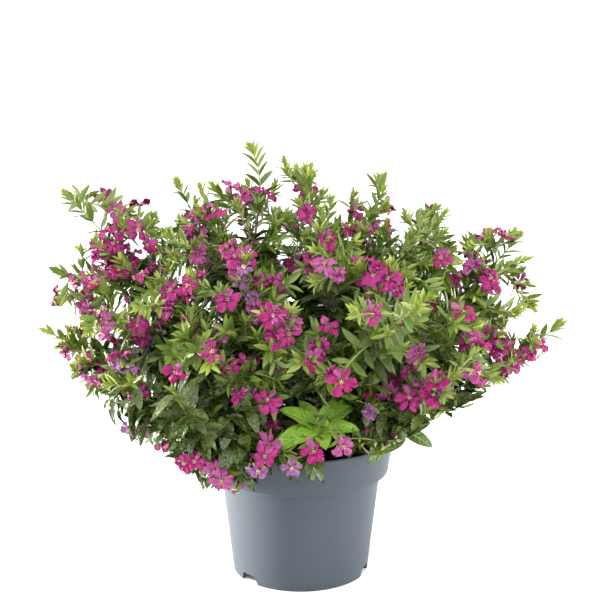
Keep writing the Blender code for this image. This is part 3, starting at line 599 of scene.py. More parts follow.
# Bearing and rise in degrees and reach in metres of the shoots that lead the outline, then of those between.
LEADING_SHOOTS = (
    (-92.0, 80.5, 0.2240), (165.0, 84.5, 0.2060), (85.0, 73.0, 0.2085), (71.0, 60.5, 0.2100),
    (96.0, 46.0, 0.2200), (82.0, 43.0, 0.2180), (90.0, 28.0, 0.2090), (-100.0, 66.0, 0.2180),
    (-68.0, 70.0, 0.2120), (-84.0, 50.5, 0.2520), (-95.0, 37.0, 0.2210), (-88.0, 27.5, 0.2060),
    (-65.0, 19.0, 0.1800), (-46.0, 10.0, 0.1330), (-34.0, 4.0, 0.1130), (52.0, 17.0, 0.1420),
    (22.0, 38.0, 0.2350), (178.0, 24.0, 0.2000),
)
EDGE_SHOOTS = (
    (-86.0, 50.0, 0.244), (-97.0, 50.0, 0.236), (-94.0, 53.0, 0.221), (-103.0, 52.0, 0.214),
    (-76.0, 55.0, 0.208), (-100.0, 55.0, 0.198), (-79.0, 59.0, 0.196), (-117.0, 70.0, 0.197),
    (-66.0, 68.0, 0.194), (-121.0, 72.0, 0.187), (-100.0, 85.0, 0.192), (-151.0, 84.0, 0.205),
    (-120.0, 87.0, 0.200), (10.0, 86.0, 0.205), (90.0, 88.0, 0.203), (18.0, 84.0, 0.202),
    (143.0, 82.0, 0.184), (33.0, 79.0, 0.190), (130.0, 75.0, 0.186), (101.0, 74.5, 0.201),
    (70.0, 72.0, 0.190), (90.0, 64.0, 0.191), (102.0, 61.0, 0.196), (90.0, 51.0, 0.203),
    (100.0, 52.0, 0.190), (90.0, 48.0, 0.214), (98.0, 41.0, 0.196), (90.0, 26.0, 0.181),
    (97.0, 33.0, 0.191), (-97.0, 33.0, 0.199), (-97.0, 43.0, 0.211), (-86.0, 27.0, 0.182),
    (-83.0, 23.0, 0.165), (-82.0, 49.0, 0.208), (12.0, 43.0, 0.202), (31.0, 44.0, 0.206),
    (-90.0, 41.6, 0.180), (-76.0, 43.5, 0.182), (-84.0, 39.0, 0.158), (-90.0, 60.0, 0.174),
    (-62.0, 58.5, 0.178),
)
# Tips of the flowering shoots round the front skirt, and of the leafy ones that hang about the rim.
SKIRT_TIPS = (
    (0.007, -0.087, 0.116), (-0.024, -0.087, 0.114), (-0.055, -0.079, 0.101), (-0.048, -0.078, 0.096),
    (-0.005, -0.088, 0.106), (-0.028, -0.088, 0.104), (-0.019, -0.078, 0.146), (-0.037, -0.079, 0.148),
    (0.044, -0.060, 0.148), (0.054, -0.058, 0.146), (-0.084, -0.062, 0.113), (-0.100, -0.052, 0.121),
    (-0.070, -0.072, 0.102), (0.024, -0.087, 0.121), (0.057, -0.050, 0.150), (0.024, -0.118, 0.170),
)
VIOLET_SKIRT = ((-0.005, -0.088, 0.106), (-0.028, -0.088, 0.104))
HANGING_TIPS = (
    (-0.040, -0.066, 0.096), (-0.064, -0.046, 0.096), (-0.050, -0.060, 0.101), (-0.060, -0.050, 0.102),
    (-0.040, -0.060, 0.104), (-0.024, -0.070, 0.106), (0.004, -0.071, 0.105), (0.010, 0.072, 0.108),
    (0.030, 0.068, 0.108), (-0.030, 0.070, 0.108), (-0.004, -0.070, 0.152), (0.008, -0.074, 0.158),
    (0.022, -0.070, 0.155), (-0.018, -0.076, 0.150), (0.034, -0.066, 0.150), (-0.034, -0.074, 0.140),
    (-0.050, -0.066, 0.125), (-0.062, -0.058, 0.118), (-0.075, -0.045, 0.110), (-0.085, -0.020, 0.112),
    (0.056, 0.042, 0.110), (0.000, 0.070, 0.106), (-0.050, 0.055, 0.106), (0.050, 0.055, 0.106),
)
# Centre and half-sizes of rounded spaces that stay open.
CLEAR_SPACES = (
    ((0.010, -0.088, 0.128), (0.034, 0.034, 0.020)),
    ((0.031, -0.050, 0.099), (0.024, 0.026, 0.015)),
    ((0.076, -0.046, 0.102), (0.018, 0.020, 0.016)),
    ((0.078, -0.020, 0.096), (0.020, 0.050, 0.014)),
)
GROWTH_SEED = 41
FINE_SEED = 17
FINE_COUNT = 1000
FINE_LOWEST_RISE = -4.0
FINE_REACH = (0.54, 1.00)
LOW_RISE = 24.0
LOW_REACH = (0.82, 0.64)
SHOULDER_REACH = (1.03, 0.91)
CROWN_REACH = 0.90
GAP_REACH = 0.72
TIP_SETBACK = 0.0055
# Height of the crown's underside, with one row for each bearing and one column for each radius.
SKIRT_RADII = (0.066, 0.085, 0.100, 0.124, 0.145, 0.166, 0.190)
SKIRT_BEARINGS = (-180.0, -90.0, -60.0, -42.0, -15.0, 10.0, 45.0, 90.0, 180.0)
SKIRT_HEIGHTS = (
    (0.098, 0.100, 0.106, 0.118, 0.135, 0.155, 0.180),
    (0.084, 0.088, 0.096, 0.112, 0.132, 0.152, 0.171),
    (0.078, 0.082, 0.096, 0.112, 0.128, 0.145, 0.170),
    (0.070, 0.074, 0.092, 0.112, 0.130, 0.150, 0.172),
    (0.088, 0.094, 0.100, 0.118, 0.136, 0.155, 0.178),
    (0.099, 0.102, 0.108, 0.124, 0.142, 0.162, 0.184),
    (0.103, 0.112, 0.120, 0.132, 0.146, 0.166, 0.190),
    (0.098, 0.108, 0.117, 0.129, 0.145, 0.154, 0.168),
    (0.098, 0.100, 0.106, 0.118, 0.135, 0.155, 0.180),
)
SKIRT_RIPPLE = 0.0050
SHOOT_ARCH = 0.48
TIP_SPREAD = 2.0
SPREAD_START = 0.87
TIP_SWAY = 0.30
TIP_LIFT = 0.15
SHOOT_PULLS = (0.36, 0.30)
HIGHEST_LEAN = (-1.1, 0.0, 0.0)
HIGHEST_TIP = 0.290
ARCH_RISE = 64.0
ARCH_FADE = 18.0
SHOOT_STEP = 0.0050
POT_MARGIN = 0.0010
PEAT_MARGIN = 0.0008
GROUND_MARGIN = 0.0040
SKIRT_START = 0.064
SHOULDER_RISES = (36.0, 66.0)
CROWN_RISE = 64.0
FINE_SWAY = 4.0
LEAD_STEPS = 24
BRANCH_STEPS = 16
FORK_RANGE = (0.10, 0.60)
FORK_SHARES = np.linspace(0.06, 0.86, 18)
FINE_FORK_SHARES = (0.3, 0.5, 0.7)
LEAST_AGREEMENT = 0.30
LEAST_REACH = 0.020
YOUNG_WOOD = 0.045
SHOOT_SEED = 23
SIDE_SHOOT_ZONE = (0.020, 0.070)
SIDE_SHOOT_SPACING = 0.0100
SIDE_SHOOT_SPACINGS = (0.7, 1.4)
SIDE_SHOOT_REACH = (0.004, 0.012)
SIDE_SHOOT_RANGE = (0.7, 1.1)
GOLDEN_ANGLE = math.pi * (3.0 - math.sqrt(5.0))
CROSSED = (0.13, 0.21, 0.97)


def to_crown(offset):
    return HUB + offset * np.array((1.0, CROWN_DEPTH, 1.0))


def from_crown(point):
    return (point - HUB) / np.array((1.0, CROWN_DEPTH, 1.0))


def keep_in_box(point):
    low = np.array((-HALF_WIDTH, -HALF_DEPTH, 0.0))
    high = np.array((HALF_WIDTH, HALF_DEPTH, CROWN_TOP))
    return np.minimum(np.maximum(point, low), high)


def in_front_gap(bearing, rise):
    return FRONT_GAP[0] < bearing < FRONT_GAP[1] and rise < FRONT_GAP[2]


def spiral(count, lowest_rise):
    """Bearings and rises of an even spiral from the top of the crown down."""
    low = math.sin(math.radians(lowest_rise))
    for i in range(count):
        rise = math.degrees(math.asin(1.0 - (1.0 - low) * (i + 0.5) / count))
        yield math.degrees(i * GOLDEN_ANGLE) % 360.0 - 180.0, rise


def shoot_targets(rng):
    leads = [heading(bearing, rise) for bearing, rise, reach in LEADING_SHOOTS]
    targets = [keep_in_box(HUB + reach * heading(b, rise)) for b, rise, reach in LEADING_SHOOTS]
    for bearing, rise in spiral(SHOOT_COUNT, LOWEST_RISE):
        reach = float(np.interp(rise, ENVELOPE_RISE, ENVELOPE_REACH)) * rng.uniform(0.86, 1.0)
        direction = heading(bearing, rise)
        if in_front_gap(bearing, rise):
            continue
        if max(float(np.dot(direction, lead)) for lead in leads) > math.cos(math.radians(LEAD_SPACING)):
            continue
        targets.append(keep_in_box(to_crown(direction * reach)))
    return targets


def fine_reach(bearing, rise, rng):
    """How far a finer shoot goes: less near the foot, least on the right, and more at the shoulders."""
    reach = float(np.interp(rise, ENVELOPE_RISE, ENVELOPE_REACH)) * rng.uniform(*FINE_REACH)
    sideways = math.sin(math.radians(bearing))
    low = LOW_REACH[1] if sideways > 0.25 else LOW_REACH[0]
    reach *= low + (1.0 - low) * min(1.0, max(0.0, rise) / LOW_RISE)
    if abs(sideways) > 0.75 and SHOULDER_RISES[0] < rise < SHOULDER_RISES[1]:
        reach *= SHOULDER_REACH[sideways > 0.0]
    if rise > CROWN_RISE:
        reach *= CROWN_REACH
    if in_front_gap(bearing, rise):
        reach *= GAP_REACH
    return reach


def in_clear_space(points):
    """True in the spaces kept clear for the two rosettes, and over the bare peat and rim beside them."""
    for centre, radii in CLEAR_SPACES:
        if any(float((((point - np.array(centre)) / radii) ** 2).sum()) < 1.0 for point in points):
            return True
    return False


def fine_targets(rng):
    """Tips of the finer shoots: those seen round the edge and skirt, then an even spiral at varied depth."""
    targets = [(keep_in_box(HUB + reach * heading(b, rise)), "edge") for b, rise, reach in EDGE_SHOOTS]
    targets += [(np.array(tip), "skirt") for tip in SKIRT_TIPS]
    targets += [(np.array(tip), "hanging") for tip in HANGING_TIPS]
    for bearing, rise in spiral(FINE_COUNT, FINE_LOWEST_RISE):
        reach = fine_reach(bearing, rise, rng)
        bearing += rng.uniform(-FINE_SWAY, FINE_SWAY)
        target = keep_in_box(to_crown(heading(bearing, rise) * reach))
        if not in_clear_space([target]):
            targets.append((target, "fine"))
    return targets


def skirt_height(point):
    """Height of the crown's underside over a place: higher outwards, and lowest at the front left."""
    radius = math.hypot(point[0], point[1])
    bearing = math.degrees(math.atan2(point[0], -point[1]))
    after = max(1, int(np.searchsorted(SKIRT_BEARINGS, bearing)))
    share = (bearing - SKIRT_BEARINGS[after - 1]) / (SKIRT_BEARINGS[after] - SKIRT_BEARINGS[after - 1])
    low = float(np.interp(radius, SKIRT_RADII, SKIRT_HEIGHTS[after - 1]))
    high = float(np.interp(radius, SKIRT_RADII, SKIRT_HEIGHTS[after]))
    ripple = math.sin(0.16 * bearing + 1.0) * math.sin(150.0 * radius + 0.09 * bearing)
    return low + (high - low) * share + SKIRT_RIPPLE * ripple


def under_skirt(points, slack=0.0):
    points = [point for point in points if math.hypot(point[0], point[1]) > SKIRT_START]
    return any(point[2] < skirt_height(point) - slack for point in points)


def hits_pot(points):
    """True where a leaf or shoot would cut the pot's wall or dip into the peat."""
    radius = np.hypot(points[:, 0], points[:, 1])
    z = points[:, 2]
    slope = (BODY_TOP_RADIUS - FOOT_RADIUS) / RIM_STEP_HEIGHT
    band_height = POT_HEIGHT - RIM_STEP_HEIGHT
    band = RIM_FOOT_RADIUS + (RIM_RADIUS - RIM_FOOT_RADIUS) * (z - RIM_STEP_HEIGHT) / band_height
    outer = np.where(z < RIM_STEP_HEIGHT, FOOT_RADIUS + slope * z, band)
    near_wall = (radius < outer + POT_MARGIN) & (radius > outer - WALL - 2 * POT_MARGIN)
    in_wall = near_wall & (z < POT_HEIGHT + POT_MARGIN)
    in_peat = (z < SOIL_TOP + PEAT_MARGIN) & (radius < outer)
    return bool((in_wall | in_peat | (z < GROUND_MARGIN)).any())


def trimmed(path, least):
    """A shoot cut short of its tip, where leaves take over, and before any part below the skirt."""
    distances = distances_along(path)
    path = path[: max(3, int(np.searchsorted(distances, distances[-1] - TIP_SETBACK)))]
    for i in range(least, len(path)):
        if under_skirt(path[i : i + 1]) or in_clear_space(path[i : i + 1]) or hits_pot(path[i : i + 1]):
            return path[:i]
    return path


def depth_below(point):
    """How far a point lies under the crown's even surface, in metres, or below 0 for one ahead of it."""
    outward = from_crown(point)
    rise = math.degrees(math.asin(max(-1.0, min(1.0, float(unit(outward)[2])))))
    surface = float(np.interp(rise, ENVELOPE_RISE, ENVELOPE_REACH))
    if in_front_gap(math.degrees(math.atan2(outward[0], -outward[1])), rise):
        surface *= GAP_REACH
    return surface - float(np.linalg.norm(outward))


def cell_planes(plan):
    for mass in plan:
        normals = [unit(mass["axis"] - other["axis"]) for other in plan if other is not mass]
        mass["planes"] = np.array(normals)


def owner_of(plan, target):
    direction = unit(from_crown(target))
    return max(plan, key=lambda mass: float(np.dot(direction, mass["axis"])))


def angle_from(mass, target):
    return math.acos(min(1.0, float(np.dot(unit(from_crown(target)), mass["axis"]))))


def sway(rng):
    return np.array([rng.uniform(-1.0, 1.0) for axis in range(3)])


def shoot_curve(root, leaving, target, rng, steps):
    """A shoot's path, which arches over low in the crown and spreads at the top."""
    length = np.linalg.norm(target - root)
    drift = sway(rng)
    outward = unit(target - HUB)
    arch = SHOOT_ARCH * min(1.0, max(0.0, (ARCH_RISE - math.degrees(math.asin(outward[2]))) / ARCH_FADE))
    spread = TIP_SPREAD if outward[2] > SPREAD_START else 1.0
    arriving = outward * (spread, spread, 1.0) + TIP_SWAY * drift + (TIP_LIFT - arch) * UP
    arriving = unit(arriving + np.array(HIGHEST_LEAN) * (target[2] > HIGHEST_TIP))
    leaving = unit(leaving + 0.8 * arch * UP)
    first = root + leaving * length * SHOOT_PULLS[0]
    second = target - arriving * length * SHOOT_PULLS[1]
    return curve_points(root, first, second, target, steps)


def crosswise(course, turn):
    """A direction square to the course, turned round it."""
    side = unit(np.cross(course, CROSSED))
    return math.cos(turn) * side + math.sin(turn) * np.cross(course, side)


def point_on(path, share):
    """The point and course at a share of the path's length."""
    distances = distances_along(path)
    along = share * distances[-1]
    step = min(len(path) - 2, max(0, int(np.searchsorted(distances, along)) - 1))
    course = unit(path[step + 1] - path[step])
    return path[step] + course * (along - distances[step]), course


def main_shoots(plan):
    """The lead shoot of each mass and its side shoots, as in the solid masses."""
    rng = random.Random(GROWTH_SEED)
    cell_planes(plan)
    for mass in plan:
        mass["targets"] = []
    for target in shoot_targets(rng):
        owner = owner_of(plan, target)
        room = float((owner["planes"] @ from_crown(target)).min()) * CROWN_DEPTH
        if room > TIP_ROOM:
            owner["targets"].append(target)
    for mass in plan:
        targets = mass["targets"]
        targets.sort(key=lambda target: -float(np.dot(unit(from_crown(target)), mass["axis"])))
        start = mass["start"] - mass["axis"] * CLEARANCE
        lead = shoot_curve(start, mass["axis"], targets[0], rng, LEAD_STEPS)
        mass["shoots"] = [lead]
        widest = max(angle_from(mass, target) for target in targets)
        for target in targets[1:]:
            share = FORK_RANGE[0] + FORK_RANGE[1] * (1.0 - angle_from(mass, target) / widest)
            root, along = point_on(lead, share)
            leaving = unit(along + unit(target - root))
            mass["shoots"].append(shoot_curve(root, leaving, target, rng, BRANCH_STEPS))


def fine_shoots(plan):
    """Finer shoots, each from the nearest older shoot that already runs its way."""
    rng = random.Random(FINE_SEED)
    for mass in plan:
        mass["fine"] = []
        mass["bases"] = []
        for path in mass["shoots"]:
            for share in FORK_SHARES:
                mass["bases"].append(point_on(path, float(share)))
    for target, kind in fine_targets(rng):
        mass = owner_of(plan, target)
        points = np.array([point for point, course in mass["bases"]])
        courses = np.array([course for point, course in mass["bases"]])
        ways = target - points
        lengths = np.linalg.norm(ways, axis=1)
        agreement = (ways * courses).sum(axis=1) / lengths
        unfit = (agreement < LEAST_AGREEMENT) | (lengths < LEAST_REACH)
        best = int(np.argmin(lengths * (1.7 - 0.7 * agreement) + np.where(unfit, 1.0, 0.0)))
        root = points[best]
        leaving = unit(courses[best] + 0.9 * unit(target - root))
        steps = max(6, int(lengths[best] / SHOOT_STEP))
        path = shoot_curve(root, leaving, target, rng, steps)
        mass["fine"].append((path, kind))
        for share in FINE_FORK_SHARES:
            mass["bases"].append(point_on(path, share))


def side_shoots(path, ahead, rng):
    """Short shoots from the leaf axils near the end of a longer one, in turn on crossed sides."""
    length = float(distances_along(path)[-1])
    found = []
    away = SIDE_SHOOT_ZONE[0] + 0.8 * ahead + rng.uniform(0.0, 0.005)
    turn = rng.uniform(0.0, math.tau)
    while away < min(SIDE_SHOOT_ZONE[1] + ahead, length * 0.8):
        root, course = point_on(path, 1.0 - away / length)
        out = crosswise(course, turn)
        reach = (0.35 * away + rng.uniform(*SIDE_SHOOT_REACH)) * rng.uniform(*SIDE_SHOOT_RANGE)
        leaving = unit(course * 0.75 + out * 0.80)
        arriving = unit(course * 0.8 + out * 0.45 + 0.35 * UP)
        tip = keep_in_box(root + (leaving + arriving) * 0.5 * reach)
        found.append(curve_points(root, root + leaving * reach * 0.35, tip - arriving * reach * 0.3, tip, 5))
        away += SIDE_SHOOT_SPACING * rng.uniform(*SIDE_SHOOT_SPACINGS)
        turn += GOLDEN_ANGLE
    return found


main_shoots(plan)
fine_shoots(plan)
shoot_rng = random.Random(SHOOT_SEED)
shoots = []
for mass in plan:
    for path in mass["shoots"]:
        shoots.append({"path": trimmed(path, 3), "rank": "main", "kind": "main"})
    for path, kind in mass["fine"]:
        path = trimmed(path, 1) if kind == "fine" else path
        if len(path) > 3:
            shoots.append({"path": path, "rank": "fine", "kind": kind})
for shoot in shoots:
    shoot["ahead"] = max(0.0, -depth_below(shoot["path"][-1]))
for shoot in list(shoots):
    if shoot["kind"] != "hanging":
        for path in side_shoots(shoot["path"], shoot["ahead"], shoot_rng):
            if not in_clear_space(path[-2:]) and not hits_pot(path):
                shoots.append({"path": path, "rank": "side", "kind": "side", "ahead": 0.0})
WOOD_RADII = {"main": (0.00110, 0.00050), "fine": (0.00072, 0.00042), "side": (0.00046, 0.00034)}
brown_tubes = []
green_tubes = []
for shoot in shoots:
    path = shoot["path"]
    length = float(distances_along(path)[-1])
    thick, thin = WOOD_RADII[shoot["rank"]]
    radii = np.linspace(thick, thin, len(path))
    turning = 0
    if shoot["rank"] != "side" and shoot["kind"] != "hanging":
        turning = int(len(path) * max(0.0, 1.0 - YOUNG_WOOD / length))
    if turning >= 2:
        brown_tubes.append(tube(path[: turning + 1], radii[: turning + 1], 6))
    if len(path) - turning >= 2:
        green_tubes.append(tube(path[turning:], radii[turning:], 5))
twig_brown, shader = mottled(
    "twig_brown", (0.13, 0.08, 0.045), 0.75, 300.0, (0.075, 0.040, 0.024), (0.190, 0.120, 0.065), 3.0, 0.0002
)
twig_green, shader = mottled(
    "twig_green", (0.260, 0.330, 0.085), 0.55, 45.0, (0.190, 0.260, 0.060), (0.330, 0.370, 0.110), 2.0
)
finish_piece(join_tubes("brown_twigs", brown_tubes), twig_brown)
finish_piece(join_tubes("green_twigs", green_tubes), twig_green)

# Leaves: narrow pointed blades folded along the midrib, in opposite pairs that cross from joint to joint.
# They are lime green and crowded at the tips, mid green behind them, and dark, broad and glossy inside. Small
# leaves deep in the crown and low under it are made darker still, as painted shade.
LEAF_SEED = 7
LEAF_ROWS = (0.14, 0.38, 0.64, 0.86)
LEAF_OUTLINE = (0.52, 0.96, 0.90, 0.48)
AGE_STEPS = (0.0, 0.004, 0.010, 0.025, 0.055, 0.100)
JOINT_GAPS = (0.0011, 0.0018, 0.0044, 0.0080, 0.0094, 0.0100)
LEAF_LENGTHS = (0.0056, 0.0090, 0.0125, 0.0152, 0.0185, 0.0240)
LEAF_SHAPES = (0.27, 0.26, 0.27, 0.29, 0.33, 0.37)
LEAF_SPREADS = (20.0, 36.0, 48.0, 56.0, 66.0, 76.0)
LEAF_ZONE = {"main": 0.150, "fine": 0.110, "side": 0.030}
OLD_LEAF_AGE = 0.060
OLD_LEAF_SHARE = 0.85
# Each kind of leaf with its oldest age in millimetres behind the tip of a sunlit shoot. Painted shade adds to
# this age for leaves deep in the crown and low under it.
LEAF_TONES = (("lime", 7.0), ("bright", 14.0), ("mid", 28.0), ("deep", 54.0), ("old", 1000.0))
LEAF_LIFT = (0.18, 0.05)
LEAF_FOLD = 0.22
LEAF_SWAY = 0.22
SPREAD_SWAY = 9.0
LENGTH_RANGE = (0.80, 1.18)
WIDTH_RANGE = (0.88, 1.12)
DROOP_RANGE = (-0.02, 0.16)
VIGOUR_RANGE = (0.86, 1.12)
JOINT_RANGE = (0.85, 1.15)
JOINT_TURN = 0.25
LONGEST_HANG = 0.010
HANG_RATE = 400.0
OVERHANG = 0.0030
TONE_SPREAD = 7.0
TONE_JITTER = 4.0
SIDE_VIGOUR = 0.86
SHADE_GROWTH = 0.14
# Painted shade: a shoot's depth under the crown's surface darkens its leaves' tone as if they were this much
# older.
DEPTH_PAINTED_SHADE = 0.26
SKIRT_LEAF_ZONE = 0.046
LOW_LEAF_TOPS = (0.170, 0.152)
LOW_LEAF_FADE = 0.030
LOW_LEAF_RADIUS = 0.138
LOW_LEAF_SHARE = 0.8
# Painted shade: leaves low under the crown get this much darker tone.
LOW_PAINTED_SHADE = 14.0


def leaf_template():
    """Places along and across a leaf, and its triangles."""
    along = [0.0]
    across = [0.0]
    for t in LEAF_ROWS:
        along += [t, t, t]
        across += [-1.0, 0.0, 1.0]
    along.append(1.0)
    across.append(0.0)
    faces = [(0, 2, 1), (0, 3, 2)]
    for row in range(len(LEAF_ROWS) - 1):
        a = 1 + 3 * row
        for k in (0, 1):
            faces.append((a + k, a + k + 1, a + k + 4))
            faces.append((a + k, a + k + 4, a + k + 3))
    last = 1 + 3 * (len(LEAF_ROWS) - 1)
    faces += [(last, last + 1, last + 3), (last + 1, last + 2, last + 3)]
    return np.array(along), np.array(across), np.array(faces)


def leaf_piece(name, leaves, material, nodes=()):
    """All leaves of one kind in one mesh. A leaf is root, direction, normal, length, width, droop."""
    along, across, faces = leaf_template()
    outline = np.interp(along, (0.0,) + LEAF_ROWS + (1.0,), (0.0,) + LEAF_OUTLINE + (0.0,))
    root = np.array([leaf[0] for leaf in leaves])[:, None, :]
    direction = np.array([leaf[1] for leaf in leaves])[:, None, :]
    normal = np.array([leaf[2] for leaf in leaves])[:, None, :]
    length = np.array([leaf[3] for leaf in leaves])[:, None, None]
    width = np.array([leaf[4] for leaf in leaves])[:, None, None]
    droop = np.array([leaf[5] for leaf in leaves])[:, None, None]
    side = np.cross(direction, normal)
    t = along[None, :, None]
    spread = (across * outline)[None, :, None]
    fold = np.abs(spread) * LEAF_FOLD * width
    verts = root + direction * length * t + side * spread * width / 2
    verts = verts + normal * (fold - droop * length * t * t)
    count = len(along)
    polys = (faces[None, :, :] + (np.arange(len(leaves)) * count)[:, None, None]).reshape(-1, 3)
    piece = mesh_piece(name, verts.reshape(-1, 3), polys)
    finish_piece(piece, material, nodes)


def square_to(direction, lean):
    return unit(lean - direction * float(np.dot(lean, direction)))


def out_of_box(points, slack):
    over = np.abs(points) - np.array((HALF_WIDTH, HALF_DEPTH, CROWN_TOP)) - slack
    return bool((over > 0.0).any())


def grow_leaf(course, across, age, rng, root, free):
    """One leaf at a distance (age) behind the tip of its shoot."""
    spread = float(np.interp(age, AGE_STEPS, LEAF_SPREADS)) + rng.uniform(-SPREAD_SWAY, SPREAD_SWAY)
    spread = math.radians(spread)
    direction = course * math.cos(spread) + across * math.sin(spread)
    direction = unit(direction + (LEAF_LIFT[0] if age < LEAF_LIFT[1] else -LEAF_LIFT[0]) * UP)
    normal = course * math.sin(spread) - across * math.cos(spread)
    normal = square_to(direction, normal + 0.45 * UP + LEAF_SWAY * sway(rng))
    length = float(np.interp(age, AGE_STEPS, LEAF_LENGTHS)) * rng.uniform(*LENGTH_RANGE)
    width = length * float(np.interp(age, AGE_STEPS, LEAF_SHAPES)) * rng.uniform(*WIDTH_RANGE)
    droop = rng.uniform(*DROOP_RANGE) + min(0.10, age * 1.5)
    tip = root + direction * length - normal * droop * length
    points = np.array((root + (tip - root) * 0.3, root + (tip - root) * 0.65, tip))
    hang = min(LONGEST_HANG, rng.expovariate(HANG_RATE))
    if hits_pot(points) or out_of_box(points, OVERHANG):
        return None
    if not free and (under_skirt(points, hang) or in_clear_space(points)):
        return None
    return root, direction, normal, length, width, droop


leaf_rng = random.Random(LEAF_SEED)
low_leaves = []
leaves = {"lime": [], "bright": [], "mid": [], "deep": [], "old": []}
for shoot in shoots:
    path = shoot["path"]
    length = float(distances_along(path)[-1])
    zone = min(LEAF_ZONE[shoot["rank"]], length * (0.97 if shoot["rank"] == "main" else 0.90))
    vigour = leaf_rng.uniform(*VIGOUR_RANGE) * (SIDE_VIGOUR if shoot["rank"] == "side" else 1.0)
    shade = leaf_rng.uniform(-0.5, 0.5)
    depth = max(0.0, depth_below(path[-1]))
    age = 0.0
    turn = leaf_rng.uniform(0.0, math.tau)
    while age < zone:
        node, course = point_on(path, 1.0 - age / length)
        across = crosswise(course, turn)
        for sign in (1.0, -1.0):
            if age > OLD_LEAF_AGE and leaf_rng.random() > OLD_LEAF_SHARE:
                continue
            low_top = LOW_LEAF_TOPS[node[0] > -0.03]
            low = min(1.0, max(0.0, (low_top - node[2]) / LOW_LEAF_FADE))
            if math.hypot(node[0], node[1]) > LOW_LEAF_RADIUS or shoot["kind"] == "skirt":
                low = 0.0
            if shoot["kind"] == "hanging" or leaf_rng.random() < LOW_LEAF_SHARE * low:
                low_leaves.append((node, course, across * sign, shoot["kind"] == "hanging"))
                continue
            free = shoot["kind"] == "skirt" and age < SKIRT_LEAF_ZONE
            leaf = grow_leaf(course, across * sign, age + SHADE_GROWTH * depth, leaf_rng, node, free)
            if leaf is None:
                continue
            leaf = leaf[:3] + (leaf[3] * vigour, leaf[4] * vigour, leaf[5])
            # The tone is the leaf's real age behind the tip, plus painted shade for depth in the crown and
            # for a place low under it, plus a random spread.
            tone = (age + DEPTH_PAINTED_SHADE * depth) * 1000.0 + TONE_SPREAD * shade + LOW_PAINTED_SHADE * low
            tone += leaf_rng.uniform(-TONE_JITTER, TONE_JITTER)
            for kind, oldest in LEAF_TONES:
                if tone < oldest:
                    leaves[kind].append(leaf)
                    break
        age += float(np.interp(age, AGE_STEPS, JOINT_GAPS)) * leaf_rng.uniform(*JOINT_RANGE)
        turn += math.pi / 2 + leaf_rng.uniform(-JOINT_TURN, JOINT_TURN)

# Darker and lighter tone and roughness of each kind.
LEAF_FINISHES = {
    "lime": ((0.205, 0.265, 0.026), (0.275, 0.332, 0.050), 0.46),
    "bright": ((0.122, 0.182, 0.020), (0.182, 0.246, 0.036), 0.42),
    "mid": ((0.086, 0.142, 0.015), (0.132, 0.200, 0.026), 0.38),
    "deep": ((0.060, 0.102, 0.014), (0.098, 0.148, 0.022), 0.33),
    "old": ((0.043, 0.074, 0.013), (0.074, 0.112, 0.019), 0.28),
}


def leaf_material(name, dark, light, roughness):
    """Satin leaf skin with slow changes of tone and a fine blistered relief."""
    material, shader = new_material(name, light, roughness)
    colour_by(material, shader, noise_on(material, 60.0, 3.0, 0.6), [(0.36, dark), (0.64, light)])
    bump_by(material, shader, noise_on(material, 800.0, 2.0), 0.00035)
    return material


masses = ["foliage_" + mass["name"] for mass in plan]
for kind, group in leaves.items():
    material = leaf_material("leaf_" + kind, *LEAF_FINISHES[kind])
    leaf_piece(kind + "_leaves", group, material, masses if kind == "mid" else ())

# Broad old leaves: large dark glossy blades in pairs on the boughs and low on the lead shoots, which arch
# over and fill the shaded heart of the crown. They are the oldest leaves, and their skin is blistered.
BROAD_GRID = (6, 2)
BROAD_LENGTH = (0.019, 0.029)
LOW_LEAF_LENGTH = (0.018, 0.027)
HANGING_LEAF_LENGTH = (0.016, 0.025)
BROAD_SHAPE = (0.27, 0.38)
BROAD_DROOP = (0.12, 0.42)
BROAD_TURN = 0.3
# Shares of a bough, of a lead shoot and of a side shoot that carry broad leaves.
BOUGH_ZONE = (0.15, 1.0)
LEAD_ZONE = (0.0, 0.60)
BRANCH_ZONE = (0.0, 0.45)
BROAD_SPACING = 0.0080
BROAD_SEED = 29
BROAD_GROOVE = 0.16
BROAD_RIPPLE = 0.045
VEIN_WAVES = 46.0
VEIN_SLANT = 0.22


def blade_grid(grid, root, direction, normal, length, width, droop, groove, ripple, phase, taper=0.85):
    """Corners of one broad leaf, row by row from its root, with a groove at the midrib and rippled edges."""
    side = np.cross(direction, normal)
    t = np.linspace(0.0, 1.0, grid[0] + 1)[:, None]
    s = np.linspace(-1.0, 1.0, 2 * grid[1] + 1)[None, :]
    outline = np.sin(math.pi * np.clip(t, 0.0, 1.0) ** 0.80) ** taper + 0.045 * (1.0 - t)
    across = s * outline * width / 2
    lift = groove * np.abs(s) ** 0.8 * outline * width - droop * length * t * t
    lift = lift + ripple * width * np.abs(s) * outline * np.sin(22.0 * t + phase + 1.4 * np.sign(s))
    bend = 1.0 - 0.35 * droop * t
    verts = root + direction * (length * t * bend)[:, :, None]
    verts = verts + side * across[:, :, None] + normal * lift[:, :, None]
    return verts.reshape(-1, 3)


def sheet_faces(columns, rows):
    """Triangles between neighbouring rows of corners, for the rows given."""
    faces = []
    for row in rows:
        for k in range(columns - 1):
            a = row * columns + k
            faces += [(a, a + 1, a + columns + 1), (a, a + columns + 1, a + columns)]
    return np.array(faces)


def keep_places(piece, name, places):
    """Stores on every corner its place on its own leaf or petal, which the material reads."""
    attribute = piece.data.attributes.new(name, "FLOAT_VECTOR", "POINT")
    attribute.data.foreach_set("vector", np.concatenate(places).astype(np.float32).ravel())


